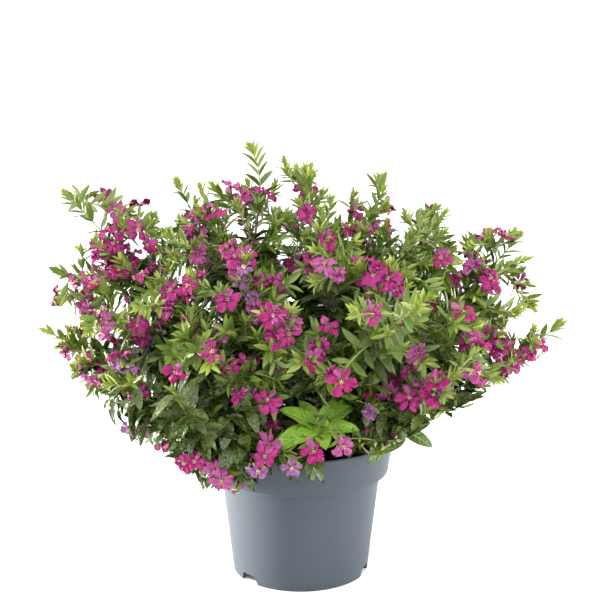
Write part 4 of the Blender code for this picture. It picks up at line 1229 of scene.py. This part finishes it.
def blade_piece(name, grid, grids, material, nodes=()):
    """Broad leaves joined in one mesh, whose corners also carry their place on the leaf for its veins."""
    faces = sheet_faces(2 * grid[1] + 1, range(grid[0]))
    polys = [faces + number * len(grids[0]) for number in range(len(grids))]
    piece = mesh_piece(name, np.concatenate(grids), np.concatenate(polys))
    across, along = np.meshgrid(np.linspace(-1.0, 1.0, 2 * grid[1] + 1), np.linspace(0.0, 1.0, grid[0] + 1))
    place = np.stack((across, along, 0.0 * along), axis=2).reshape(-1, 3)
    keep_places(piece, "blade_place", [place + (0.0, 0.0, 3.7 * number) for number in range(len(grids))])
    finish_piece(piece, material, nodes)


def side_veins(material):
    """Relief of a broad leaf: side veins that slant forward from the midrib, with blisters between them."""
    nodes = material.node_tree.nodes
    links = material.node_tree.links

    def math_node(kind, first, second):
        node = nodes.new("ShaderNodeMath")
        node.operation = kind
        for socket, value in zip(node.inputs, (first, second)):
            if isinstance(value, float):
                socket.default_value = value
            else:
                links.new(value, socket)
        return node.outputs["Value"]

    place = nodes.new("ShaderNodeAttribute")
    place.attribute_name = "blade_place"
    parts = nodes.new("ShaderNodeSeparateXYZ")
    links.new(place.outputs["Vector"], parts.inputs["Vector"])
    out = math_node("ABSOLUTE", parts.outputs["X"], 0.0)
    slant = math_node("SUBTRACT", parts.outputs["Y"], math_node("MULTIPLY", out, VEIN_SLANT))
    waves = math_node("SINE", math_node("MULTIPLY", slant, VEIN_WAVES), 0.0)
    blister = math_node("MULTIPLY", noise_on(material, 420.0, 2.0), 1.6)
    return math_node("ADD", math_node("MULTIPLY", waves, 0.10), blister)


def add_broad_leaf(node, direction, normal, size, rng, hanging=False):
    """Keeps one broad leaf, unless it meets the pot or leaves the crown's space."""
    width = size * rng.uniform(*BROAD_SHAPE)
    droop = rng.uniform(*BROAD_DROOP)
    sizes = (size, width, droop, BROAD_GROOVE, BROAD_RIPPLE, rng.uniform(0.0, 6.0))
    grid = blade_grid(BROAD_GRID, node, direction, normal, *sizes)
    probes = grid[:: len(grid) // 3]
    if hits_pot(grid) or out_of_box(grid, 0.0) or in_clear_space(probes):
        return
    if hanging or not under_skirt(probes):
        broad.append(grid)


broad_rng = random.Random(BROAD_SEED)
broad = []
for node, course, out, hanging in low_leaves:
    direction = unit(course * 0.55 + out * 0.8 + broad_rng.uniform(-0.55, 0.10) * UP)
    normal = square_to(direction, UP + 0.30 * course - 0.2 * out)
    size = broad_rng.uniform(*(HANGING_LEAF_LENGTH if hanging else LOW_LEAF_LENGTH))
    add_broad_leaf(node, direction, normal, size, broad_rng, hanging)
for mass in plan:
    inner = [(mass["bough"], *BOUGH_ZONE), (mass["shoots"][0], *LEAD_ZONE)]
    inner += [(path, *BRANCH_ZONE) for path in mass["shoots"][1:]]
    for path, first, last in inner:
        length = float(distances_along(path)[-1])
        count = int((last - first) * length / BROAD_SPACING)
        turn = broad_rng.uniform(0.0, math.tau)
        for joint in range(count):
            node, course = point_on(path, first + (last - first) * (joint + 0.5) / count)
            turn += math.pi / 2 + broad_rng.uniform(-BROAD_TURN, BROAD_TURN)
            for sign in (1.0, -1.0):
                out = sign * crosswise(course, turn)
                direction = unit(course * 0.42 + out * 0.9 + broad_rng.uniform(-0.25, 0.35) * UP)
                normal = square_to(direction, UP + 0.35 * course - 0.2 * out)
                add_broad_leaf(node, direction, normal, broad_rng.uniform(*BROAD_LENGTH), broad_rng)
broad_green, shader = mottled(
    "broad_leaf_green", (0.050, 0.080, 0.014), 0.26, 70.0, (0.036, 0.062, 0.011), (0.086, 0.126, 0.022)
)
shader.inputs["Coat Weight"].default_value = 0.28
shader.inputs["Coat Roughness"].default_value = 0.16
bump_by(broad_green, shader, side_veins(broad_green), 0.0010)
blade_piece("broad_leaves", BROAD_GRID, broad, broad_green)

# Front rosettes: a young shoot low at the front opens a whorl of broad lime leaves over the pot's rim, and a
# smaller, greener one hangs over the rim beside it. Their leaves are soft and satin, with a pale midrib.
ROSETTE_CENTRE = np.array((0.0125, -0.0660, 0.1215))
ROSETTE_FOOT = np.array((0.0090, -0.0300, SOIL_TOP + 0.0005))
ROSETTE_TIPS = (
    (-0.0135, -0.0750, 0.1392), (-0.0179, -0.0860, 0.1150), (-0.0039, -0.0900, 0.1205),
    (0.0376, -0.0800, 0.1267), (0.0228, -0.0550, 0.1400), (0.0387, -0.0520, 0.1383),
    (-0.0010, -0.0530, 0.1385), (0.0160, -0.0920, 0.1175),
)
ROSETTE_GRID = (9, 3)
ROSETTE_SHAPE = 0.41
ROSETTE_TAPER = 0.62
ROSETTE_STEP = 0.0012
ROSETTE_STRETCH = 1.04
ROSETTE_TURNUP = 0.16
ROSETTE_BENDS = (0.20, 0.15, 0.030)
HEART_LEAF_BEARINGS = (-150.0, -75.0, -20.0, 50.0, 120.0, 170.0)
MIDRIB_RADIUS = 0.00040
RIM_ROSETTE_CENTRE = np.array((0.0690, -0.0350, 0.1094))
RIM_ROSETTE_FOOT = np.array((0.0560, -0.0240, 0.1520))
RIM_ROSETTE_TIPS = (
    (0.0447, -0.0600, 0.1030), (0.0864, -0.0400, 0.1180),
    (0.0888, -0.0400, 0.1012), (0.0600, -0.0420, 0.1240),
)
RIM_ROSETTE_SHAPE = 0.38
HANGING_ROOT = np.array((0.0570, -0.0470, 0.1052))
HANGING_WAY = np.array((-0.0119, -0.0090, -0.0100))
HANGING_SIZES = (0.0190, 0.0078, 0.10, 0.16, 0.03, 2.0)
HEART_LEAF_LENGTHS = (0.0062, 0.0007)
STALK_LEAF_SIZES = (0.022, 0.008, 0.25, 0.17, 0.03)


def add_rosette(centre, tips, shape, lean, grids):
    """Broad blades from one centre to their tips, with a raised midrib on each."""
    for number, tip in enumerate(tips):
        root = centre + ROSETTE_STEP * (number % 3) * UP
        reach = np.array(tip) - root
        direction = unit(reach)
        length = float(np.linalg.norm(reach)) * ROSETTE_STRETCH
        normal = square_to(direction, np.array(lean))
        direction = unit(direction + normal * ROSETTE_TURNUP)
        normal = square_to(direction, normal)
        width = length * shape
        sizes = (length, width, *ROSETTE_BENDS, number * 1.3)
        grid = blade_grid(ROSETTE_GRID, root, direction, normal, *sizes, ROSETTE_TAPER)
        grids.append(grid)
        middle = grid[ROSETTE_GRID[1] :: 2 * ROSETTE_GRID[1] + 1]
        midribs.append(tube(middle + normal * 0.00015, np.linspace(MIDRIB_RADIUS, 0.0001, len(middle)), 5))


stalk = curve_points(
    ROSETTE_FOOT,
    ROSETTE_FOOT + np.array((0.0, -0.006, 0.022)),
    ROSETTE_CENTRE - np.array((0.0, -0.022, 0.004)),
    ROSETTE_CENTRE,
    14,
)
rosette = []
midribs = [tube(stalk, np.linspace(0.0013, 0.0009, len(stalk)), 8)]
add_rosette(ROSETTE_CENTRE, ROSETTE_TIPS, ROSETTE_SHAPE, (0.0, -0.55, 1.0), rosette)
for number, bearing in enumerate(HEART_LEAF_BEARINGS):
    direction = unit(heading(bearing, 38.0 + 6.0 * (number % 3)))
    normal = square_to(direction, np.array((0.0, -0.3, 1.0)))
    size = HEART_LEAF_LENGTHS[0] - HEART_LEAF_LENGTHS[1] * number
    sizes = (size, size * 0.4, 0.1, 0.2, 0.0, 0.0)
    rosette.append(blade_grid(ROSETTE_GRID, ROSETTE_CENTRE, direction, normal, *sizes))
for pair, share in enumerate((0.50, 0.68, 0.84)):
    node, course = point_on(stalk, share)
    for sign in (1.0, -1.0):
        out = np.array((sign, 0.15, 0.0)) if pair % 2 else np.array((sign * 0.5, sign * 0.2, 0.6))
        direction = unit(out + course * 0.4)
        normal = square_to(direction, np.array((0.0, -0.4, 1.0)))
        grid = blade_grid(ROSETTE_GRID, node, direction, normal, *STALK_LEAF_SIZES, pair)
        if not hits_pot(grid):
            rosette.append(grid)
rosette_lime, shader = mottled(
    "rosette_lime", (0.235, 0.380, 0.060), 0.32, 90.0, (0.170, 0.330, 0.030), (0.270, 0.460, 0.055)
)
bump_by(rosette_lime, shader, side_veins(rosette_lime), 0.0007)
blade_piece("rosette_leaves", ROSETTE_GRID, rosette, rosette_lime, ["foliage_front_rosette"])
rim_stalk = curve_points(
    RIM_ROSETTE_FOOT,
    RIM_ROSETTE_FOOT + np.array((0.008, -0.006, -0.006)),
    RIM_ROSETTE_CENTRE + np.array((0.001, 0.002, 0.016)),
    RIM_ROSETTE_CENTRE,
    12,
)
midribs.append(tube(rim_stalk, np.linspace(0.0011, 0.0007, len(rim_stalk)), 8))
rim_rosette = []
add_rosette(RIM_ROSETTE_CENTRE, RIM_ROSETTE_TIPS, RIM_ROSETTE_SHAPE, (0.1, -1.0, 0.5), rim_rosette)
direction = unit(HANGING_WAY)
normal = square_to(direction, np.array((0.6, -0.8, 0.2)))
rim_rosette.append(blade_grid(ROSETTE_GRID, HANGING_ROOT, direction, normal, *HANGING_SIZES))
rim_green, shader = mottled(
    "rim_rosette_green", (0.090, 0.150, 0.020), 0.30, 80.0, (0.060, 0.108, 0.014), (0.120, 0.190, 0.028)
)
bump_by(rim_green, shader, side_veins(rim_green), 0.0008)
blade_piece("rim_rosette_leaves", ROSETTE_GRID, rim_rosette, rim_green)
midrib_pale, shader = mottled(
    "midrib_pale", (0.400, 0.560, 0.150), 0.50, 80.0, (0.340, 0.500, 0.110), (0.450, 0.600, 0.180)
)
finish_piece(join_tubes("rosette_midribs", midribs), midrib_pale)

# Flowers: six thin crinkled petals, the two upper ones narrower, spread at the mouth of a slim green calyx
# that grows from a leaf axil and turns to the light at the front. Most are magenta or rose, a few violet.
FLOWER_SEED = 31
FLOWER_RADIUS = 0.0083
FLOWER_RANGE = (0.86, 1.10)
FLOWER_OVERHANG = 0.0010
PETAL_ANGLES = (62.0, 118.0, 178.0, 238.0, 302.0, 2.0)
PETAL_WIDTHS = (0.25, 0.25, 0.34, 0.37, 0.37, 0.34)
PETAL_ROWS = (0.06, 0.22, 0.42, 0.62, 0.80, 0.93, 1.00)
PETAL_OUTLINE = (0.14, 0.32, 0.68, 0.96, 1.00, 0.76, 0.34)
PETAL_COLUMNS = (-1.0, -0.5, 0.0, 0.5, 1.0)
PETAL_TURN = 11.0
PETAL_REACH_RANGE = (0.82, 1.10)
PETAL_WIDTH_RANGE = (0.82, 1.12)
PETAL_TILT_RANGE = (-24.0, 18.0)
PETAL_STREAKS = (15.0, 1.6, 1.0)
THROAT_ROWS = 1
CALYX_LENGTH = (0.0080, 0.0115)
PETAL_TILTS = (4.0, 10.0, 18.0, 18.0, 30.0, 52.0)
BLOOM_AGE = (0.007, 0.032)
EDGE_BLOOM_AGE = 0.006
PALE_UPPER = 0.6
# Low and high corners of regions of shoot tips, and how much more or less they bloom.
BLOOM_PATCHES = (
    ((-0.050, -0.150, 0.160), (0.045, -0.030, 0.255), 2.20),
    ((-0.184, -0.150, 0.225), (-0.090, 0.080, 0.275), 2.20),
    ((-0.130, -0.150, 0.120), (-0.040, -0.010, 0.165), 0.30),
    ((0.045, -0.150, 0.150), (0.092, 0.000, 0.215), 0.80),
    ((0.120, -0.150, 0.165), (0.190, 0.150, 0.303), 0.80),
    ((0.059, -0.150, 0.215), (0.098, 0.150, 0.285), 0.40),
    ((0.098, -0.150, 0.215), (0.137, 0.150, 0.262), 4.00),
    ((0.018, -0.150, 0.160), (0.066, -0.030, 0.212), 0.05),
    ((0.018, -0.150, 0.208), (0.057, -0.030, 0.235), 1.80),
    ((-0.020, -0.150, 0.225), (0.034, -0.030, 0.280), 0.22),
    ((-0.020, -0.030, 0.262), (0.018, 0.150, 0.303), 0.35),
    ((-0.018, -0.150, 0.170), (0.018, -0.030, 0.207), 2.80),
    ((-0.018, -0.150, 0.207), (0.018, -0.050, 0.225), 3.00),
    ((-0.055, -0.150, 0.165), (-0.018, -0.030, 0.200), 0.35),
    ((-0.055, -0.150, 0.207), (-0.018, -0.050, 0.241), 3.00),
    ((0.018, -0.150, 0.135), (0.057, -0.030, 0.160), 0.60),
    ((0.057, -0.150, 0.110), (0.100, -0.020, 0.165), 6.00),
    ((-0.184, -0.150, 0.140), (-0.130, 0.150, 0.190), 1.08),
    ((-0.184, -0.150, 0.190), (-0.130, 0.150, 0.225), 2.20),
    ((-0.098, -0.150, 0.225), (-0.059, 0.150, 0.262), 0.40),
    ((-0.137, -0.150, 0.187), (-0.098, 0.150, 0.225), 0.55),
    ((-0.018, -0.050, 0.190), (0.018, 0.010, 0.228), 3.00),
    ((0.057, -0.150, 0.150), (0.098, 0.000, 0.186), 1.80),
    ((-0.098, -0.150, 0.160), (-0.055, -0.030, 0.205), 0.65),
    ((-0.137, -0.150, 0.160), (-0.098, 0.040, 0.185), 2.00),
    ((0.059, -0.150, 0.186), (0.098, 0.050, 0.220), 0.65),
    ((0.098, -0.150, 0.180), (0.150, 0.050, 0.220), 0.95),
    ((0.098, -0.150, 0.135), (0.140, 0.050, 0.180), 0.95),
    ((-0.057, -0.150, 0.125), (-0.018, -0.040, 0.165), 3.00),
)
VIOLET_SIZE = 0.80
BLOOM_RISES = (-5.0, 10.0, 30.0, 50.0, 65.0, 90.0)
BLOOM_BY_RISE = (0.72, 0.76, 0.86, 0.80, 0.46, 0.26)
BLOOM_DEPTHS = (0.022, 0.045, 0.075)
BLOOM_BY_DEPTH = (1.0, 0.6, 0.1)
BLOOM_BY_PLACE = (1.0, 0.80, 0.55, 0.35)
BACK_START = -0.02
BACK_LEFT_RISE = 42.0
BACK_LEFT_BLOOM = 0.75
FACING_SWAY = 0.30
UPRIGHT = 0.10
SKIRT_BLOOM_AGE = 0.002
SKIRT_BLOOM_WAY = np.array((0.0, -1.0, 0.08))
SIDE_BLOOM = 0.60
COLOUR_SHARES = (0.42, 0.33, 0.20, 0.05)
SAME_COLOUR = 0.8
BUD_SHARE = 0.45
RIPE_SHARE = 0.30
BUD_LENGTH = (0.0038, 0.0068)
LIGHT_LEAN = 0.55
LIGHT_DEPTH = 0.09
PETAL_COLOURS = {
    "magenta": ((0.214, 0.008, 0.098), (0.330, 0.026, 0.156)),
    "rose": ((0.232, 0.026, 0.134), (0.350, 0.084, 0.224)),
    "crimson": ((0.205, 0.005, 0.080), (0.300, 0.013, 0.121)),
    "violet": ((0.155, 0.038, 0.150), (0.270, 0.110, 0.250)),
}


def spoke(flower, angle):
    """A direction across a flower's face, at an angle round it."""
    return math.cos(angle) * flower["across"] + math.sin(angle) * flower["up"]


def petal_corners(flower, which):
    """Corners of one petal of a flower, row by row from the throat."""
    rng = flower["rng"]
    t = np.array(PETAL_ROWS)[:, None]
    s = np.array(PETAL_COLUMNS)[None, :]
    angle = math.radians(PETAL_ANGLES[which] + rng.uniform(-PETAL_TURN, PETAL_TURN))
    radius = flower["radius"] * rng.uniform(*PETAL_REACH_RANGE)
    width = radius * PETAL_WIDTHS[which] * rng.uniform(*PETAL_WIDTH_RANGE)
    width = width * np.array(PETAL_OUTLINE)[:, None]
    tilt = math.radians(flower["tilt"] + rng.uniform(*PETAL_TILT_RANGE))
    first, second, third = (rng.uniform(0.0, math.tau) for k in range(3))
    reach = radius * t * (1.0 + 0.09 * np.sin(5.0 * s + first) * t)
    relief = 0.150 * np.sin(4.6 * s + second) * t + 0.110 * np.sin(9.0 * t + third + 1.8 * s)
    relief = relief + 0.12 * np.sin(math.pi * t) - 0.16 * s * s * t + 0.03 * rng.uniform(-1.0, 1.0)
    out = spoke(flower, angle)
    side = -math.sin(angle) * flower["across"] + math.cos(angle) * flower["up"]
    facing = flower["facing"]
    along = out * math.cos(tilt) + facing * math.sin(tilt)
    over = facing * math.cos(tilt) - out * math.sin(tilt)
    verts = flower["centre"] + along * reach[:, :, None] + side * (s * width)[:, :, None]
    verts = verts + over * (relief * radius)[:, :, None]
    place = np.stack((s * width / radius, t + 0.0 * s, 0.0 * t + 0.0 * s + rng.uniform(0.0, 90.0)), axis=2)
    return verts.reshape(-1, 3), place.reshape(-1, 3)


def petal_piece(name, grids, rows, material):
    """The petals of one colour, from some of their rows of corners, without corners that no face uses."""
    faces = sheet_faces(len(PETAL_COLUMNS), rows)
    used = np.unique(faces)
    order = np.zeros(len(grids[0][0]), int)
    order[used] = np.arange(len(used))
    verts = np.concatenate([grid[used] for grid, place in grids])
    polys = np.concatenate([order[faces] + number * len(used) for number in range(len(grids))])
    piece = mesh_piece(name, verts, polys)
    keep_places(piece, "petal_place", [place[used] for grid, place in grids])
    finish_piece(piece, material)


def open_flower(node, leaving, rng, colour, hanging):
    """A flower on its calyx from a node, or nothing where it would meet the pot or leave the crown."""
    reach = rng.uniform(*CALYX_LENGTH)
    facing = unit(leaving + FACING_SWAY * sway(rng))
    centre = node + unit(leaving + facing) * reach
    across = unit(np.cross(UP, facing))
    radius = FLOWER_RADIUS * rng.uniform(*FLOWER_RANGE) * (VIOLET_SIZE if colour == "violet" else 1.0)
    flower = {"centre": centre, "facing": facing, "across": across, "up": np.cross(facing, across)}
    flower.update(node=node, leaving=leaving, radius=radius, rng=rng, tilt=rng.choice(PETAL_TILTS))
    pale = "violet" if colour == "violet" else "rose"
    flower["shades"] = [pale if k < 2 and rng.random() < PALE_UPPER else colour for k in range(6)]
    ends = ((1, 0), (-1, 0), (0, 1), (0, -1))
    edge = np.array([centre + radius * (across * x + flower["up"] * y) for x, y in ends])
    if hits_pot(edge) or out_of_box(edge, FLOWER_OVERHANG):
        return None
    if not hanging and (under_skirt(edge) or in_clear_space([centre])):
        return None
    return flower


flowers = []
buds = []
for number, shoot in enumerate(shoots):
    if shoot["kind"] == "hanging":
        continue
    flower_rng = random.Random(1000 * FLOWER_SEED + number)
    path = shoot["path"]
    length = float(distances_along(path)[-1])
    tip = path[-1]
    outward = unit(from_crown(tip))
    rise = math.degrees(math.asin(max(-1.0, min(1.0, outward[2]))))
    below = depth_below(tip)
    bloom = float(np.interp(rise, BLOOM_RISES, BLOOM_BY_RISE))
    bloom *= float(np.interp(below, BLOOM_DEPTHS, BLOOM_BY_DEPTH))
    if tip[1] > BACK_START and tip[0] < 0.0 and rise < BACK_LEFT_RISE:
        bloom *= BACK_LEFT_BLOOM
    for low, high, factor in BLOOM_PATCHES:
        if all(low[k] < tip[k] < high[k] for k in range(3)):
            bloom *= factor
    if shoot["rank"] == "side":
        bloom *= SIDE_BLOOM
    colour = flower_rng.choices(list(PETAL_COLOURS), COLOUR_SHARES)[0]
    turn = flower_rng.uniform(0.0, math.tau)
    for place, place_share in enumerate(BLOOM_BY_PLACE):
        wanted = flower_rng.random() < bloom * place_share
        age = 0.9 * shoot["ahead"] + flower_rng.uniform(*BLOOM_AGE)
        age += EDGE_BLOOM_AGE if shoot["kind"] == "edge" else 0.0
        forced = shoot["kind"] == "skirt" and place == 0
        if forced:
            wanted = True
            age = SKIRT_BLOOM_AGE
            turn = 0.0
            if any(np.allclose(tip, violet) for violet in VIOLET_SKIRT):
                colour = "violet"
        turn += GOLDEN_ANGLE + flower_rng.uniform(-0.5, 0.5)
        if age > length * 0.8:
            continue
        node, course = point_on(path, 1.0 - age / length)
        across = crosswise(course, turn)
        to_light = LIGHT_LEAN * max(0.0, 1.0 - max(0.0, float(tip[1])) / LIGHT_DEPTH)
        leaving = unit(across + 0.45 * course + 0.80 * outward + np.array((0.0, -to_light, UPRIGHT)))
        if forced:
            leaving = unit(0.4 * course + 0.6 * outward + SKIRT_BLOOM_WAY)
        same = flower_rng.random() < SAME_COLOUR or forced
        shade = colour if same else flower_rng.choice(("magenta", "rose", "crimson"))
        if wanted:
            flower = open_flower(node, leaving, flower_rng, shade, forced)
            if flower is not None:
                flowers.append(flower)
        elif flower_rng.random() < BUD_SHARE:
            buds.append((node, leaving, flower_rng.uniform(*BUD_LENGTH), flower_rng.random() < RIPE_SHARE))

throats = []
for colour, (dark, light) in PETAL_COLOURS.items():
    petals = [(flower, k) for flower in flowers for k in range(6) if flower["shades"][k] == colour]
    grids = [petal_corners(flower, k) for flower, k in petals]
    material, shader = new_material("petal_" + colour, light, 0.60)
    shader.inputs["Specular IOR Level"].default_value = 0.22
    veins = noise_on(material, 1.0, 3.0, 0.5, PETAL_STREAKS, "petal_place")
    colour_by(material, shader, veins, [(0.36, dark), (0.58, light)])
    bump_by(material, shader, veins, 0.0006)
    petal_piece(colour + "_petals", grids, range(THROAT_ROWS, len(PETAL_ROWS) - 1), material)
    throats += grids
throat_dark, shader = mottled(
    "petal_throat", (0.260, 0.004, 0.090), 0.55, 300.0, (0.200, 0.003, 0.070), (0.340, 0.010, 0.120)
)
petal_piece("petal_throats", throats, range(THROAT_ROWS), throat_dark)

# Calyxes, hearts and buds: each flower stands on a slim green tube, with a pale heart and stamens in its
# throat. Closed green buds stand in other axils, the riper ones pink at the end.
CALYX_RADII = (0.0003, 0.0003, 0.0006, 0.0010, 0.0012, 0.0012, 0.0009)
CALYX_PULLS = (0.003, 0.004)
HEART_RADII = (0.0009, 0.0007, 0.0003)
HEART_ENDS = (0.0003, 0.0011)
STAMEN_RADII = (0.00012, 0.00012, 0.00026)
STAMEN_REACH = (0.0026, 0.0012)
STAMEN_BEARINGS = (20.0, 95.0, 160.0, 235.0, 310.0)
BUD_RADII = (0.00025, 0.0004, 0.0008, 0.00095, 0.0007)
BUD_TIP_RADII = (0.0008, 0.0003)
calyx_tubes = []
heart_tubes = []
for flower in flowers:
    node = flower["node"]
    centre = flower["centre"]
    facing = flower["facing"]
    pulls = (node + flower["leaving"] * CALYX_PULLS[0], centre - facing * CALYX_PULLS[1])
    calyx_tubes.append(tube(curve_points(node, *pulls, centre, 6), CALYX_RADII, 7))
    path = np.linspace(centre - facing * HEART_ENDS[0], centre + facing * HEART_ENDS[1], 3)
    heart_tubes.append(tube(path, HEART_RADII, 6))
    for angle in STAMEN_BEARINGS:
        lean = spoke(flower, math.radians(angle))
        path = np.linspace(centre, centre + facing * STAMEN_REACH[0] + lean * STAMEN_REACH[1], 3)
        heart_tubes.append(tube(path, STAMEN_RADII, 4))
bud_green = []
bud_pink = []
for node, leaving, length, ripe in buds:
    end = node + leaving * length
    if out_of_box(np.array((end, end)), OVERHANG) or hits_pot(np.array((node, end))):
        continue
    path = np.linspace(node, end, 6)
    bud_green.append(tube(path[:5], BUD_RADII, 6))
    (bud_pink if ripe else bud_green).append(tube(path[4:] + leaving * 0.0004, BUD_TIP_RADII, 6))
calyx_green, shader = mottled(
    "calyx_green", (0.270, 0.370, 0.080), 0.50, 60.0, (0.200, 0.300, 0.055), (0.330, 0.410, 0.110)
)
finish_piece(join_tubes("calyxes", calyx_tubes), calyx_green)
finish_piece(join_tubes("green_buds", bud_green), calyx_green)
heart_pale, shader = mottled(
    "heart_pale", (0.560, 0.560, 0.240), 0.60, 200.0, (0.450, 0.480, 0.150), (0.660, 0.640, 0.330)
)
finish_piece(join_tubes("flower_hearts", heart_tubes), heart_pale)
bud_rose, shader = mottled(
    "bud_rose", (0.640, 0.060, 0.280), 0.50, 120.0, (0.540, 0.030, 0.210), (0.720, 0.120, 0.360)
)
finish_piece(join_tubes("pink_buds", bud_pink), bud_rose)

# Studio: a plain pale floor under an even bright sky, with soft lamps at the left, the right, above and in
# front, two narrow low beams on the pot's sides, and a camera a little above the plant, tilted down.
CAMERA_PLACE = (-0.0004, -0.9949, 0.4237)
CAMERA_TILT = 13.07
CAMERA_LENS = 90.0
bpy.ops.mesh.primitive_plane_add(size=8.0, location=(0.0, 0.0, 0.0))
floor = bpy.context.object
floor.name = "studio_floor"
floor_white, shader = new_material("floor_white", (0.97, 0.97, 0.97), 0.9)
floor.data.materials.append(floor_white)
floor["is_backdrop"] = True
world = bpy.data.worlds.new("studio_world")
bpy.context.scene.world = world
world.use_nodes = True
world.node_tree.nodes["Background"].inputs["Color"].default_value = (1.0, 1.0, 1.0, 1.0)
world.node_tree.nodes["Background"].inputs["Strength"].default_value = 1.80


def soft_light(name, place, size, power, aim_height=0.16, spread=180.0, tint=(1.0, 1.0, 1.0)):
    bpy.ops.object.light_add(type="AREA", location=place)
    lamp = bpy.context.object
    lamp.name = name
    lamp.data.shape = "DISK"
    lamp.data.size = size
    lamp.data.energy = power
    lamp.data.spread = math.radians(spread)
    lamp.data.color = tint
    aim = Vector((0.0, 0.0, aim_height)) - Vector(place)
    lamp.rotation_euler = aim.to_track_quat("-Z", "Y").to_euler()


soft_light("key_light", (-1.10, -1.00, 1.20), 1.0, 2.0)
soft_light("edge_light", (-1.30, 0.45, 0.30), 0.9, 8.0)
soft_light("pot_light_left", (-0.75, 0.14, 0.09), 0.3, 1.7, 0.045, 30.0, (1.0, 0.94, 0.86))
soft_light("pot_light_right", (0.85, 0.16, 0.09), 0.3, 0.20, 0.045, 30.0)
soft_light("fill_light", (1.50, -0.10, 0.30), 0.9, 20.0)
soft_light("top_light", (0.10, -0.70, 1.80), 1.0, 8.5)
soft_light("front_light", (-0.10, -1.15, 1.20), 0.7, 6.0)
bpy.ops.object.camera_add(location=CAMERA_PLACE, rotation=(math.radians(90.0 - CAMERA_TILT), 0.0, 0.0))
camera = bpy.context.object
camera.name = "photo_camera"
camera.data.lens = CAMERA_LENS
camera.data.sensor_width = 36.0
bpy.context.scene.camera = camera
bpy.context.scene.view_settings.view_transform = "Standard"

sizes = {"cad": [list(corner) for corner in cad_box], "visual": [list(corner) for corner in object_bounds()]}
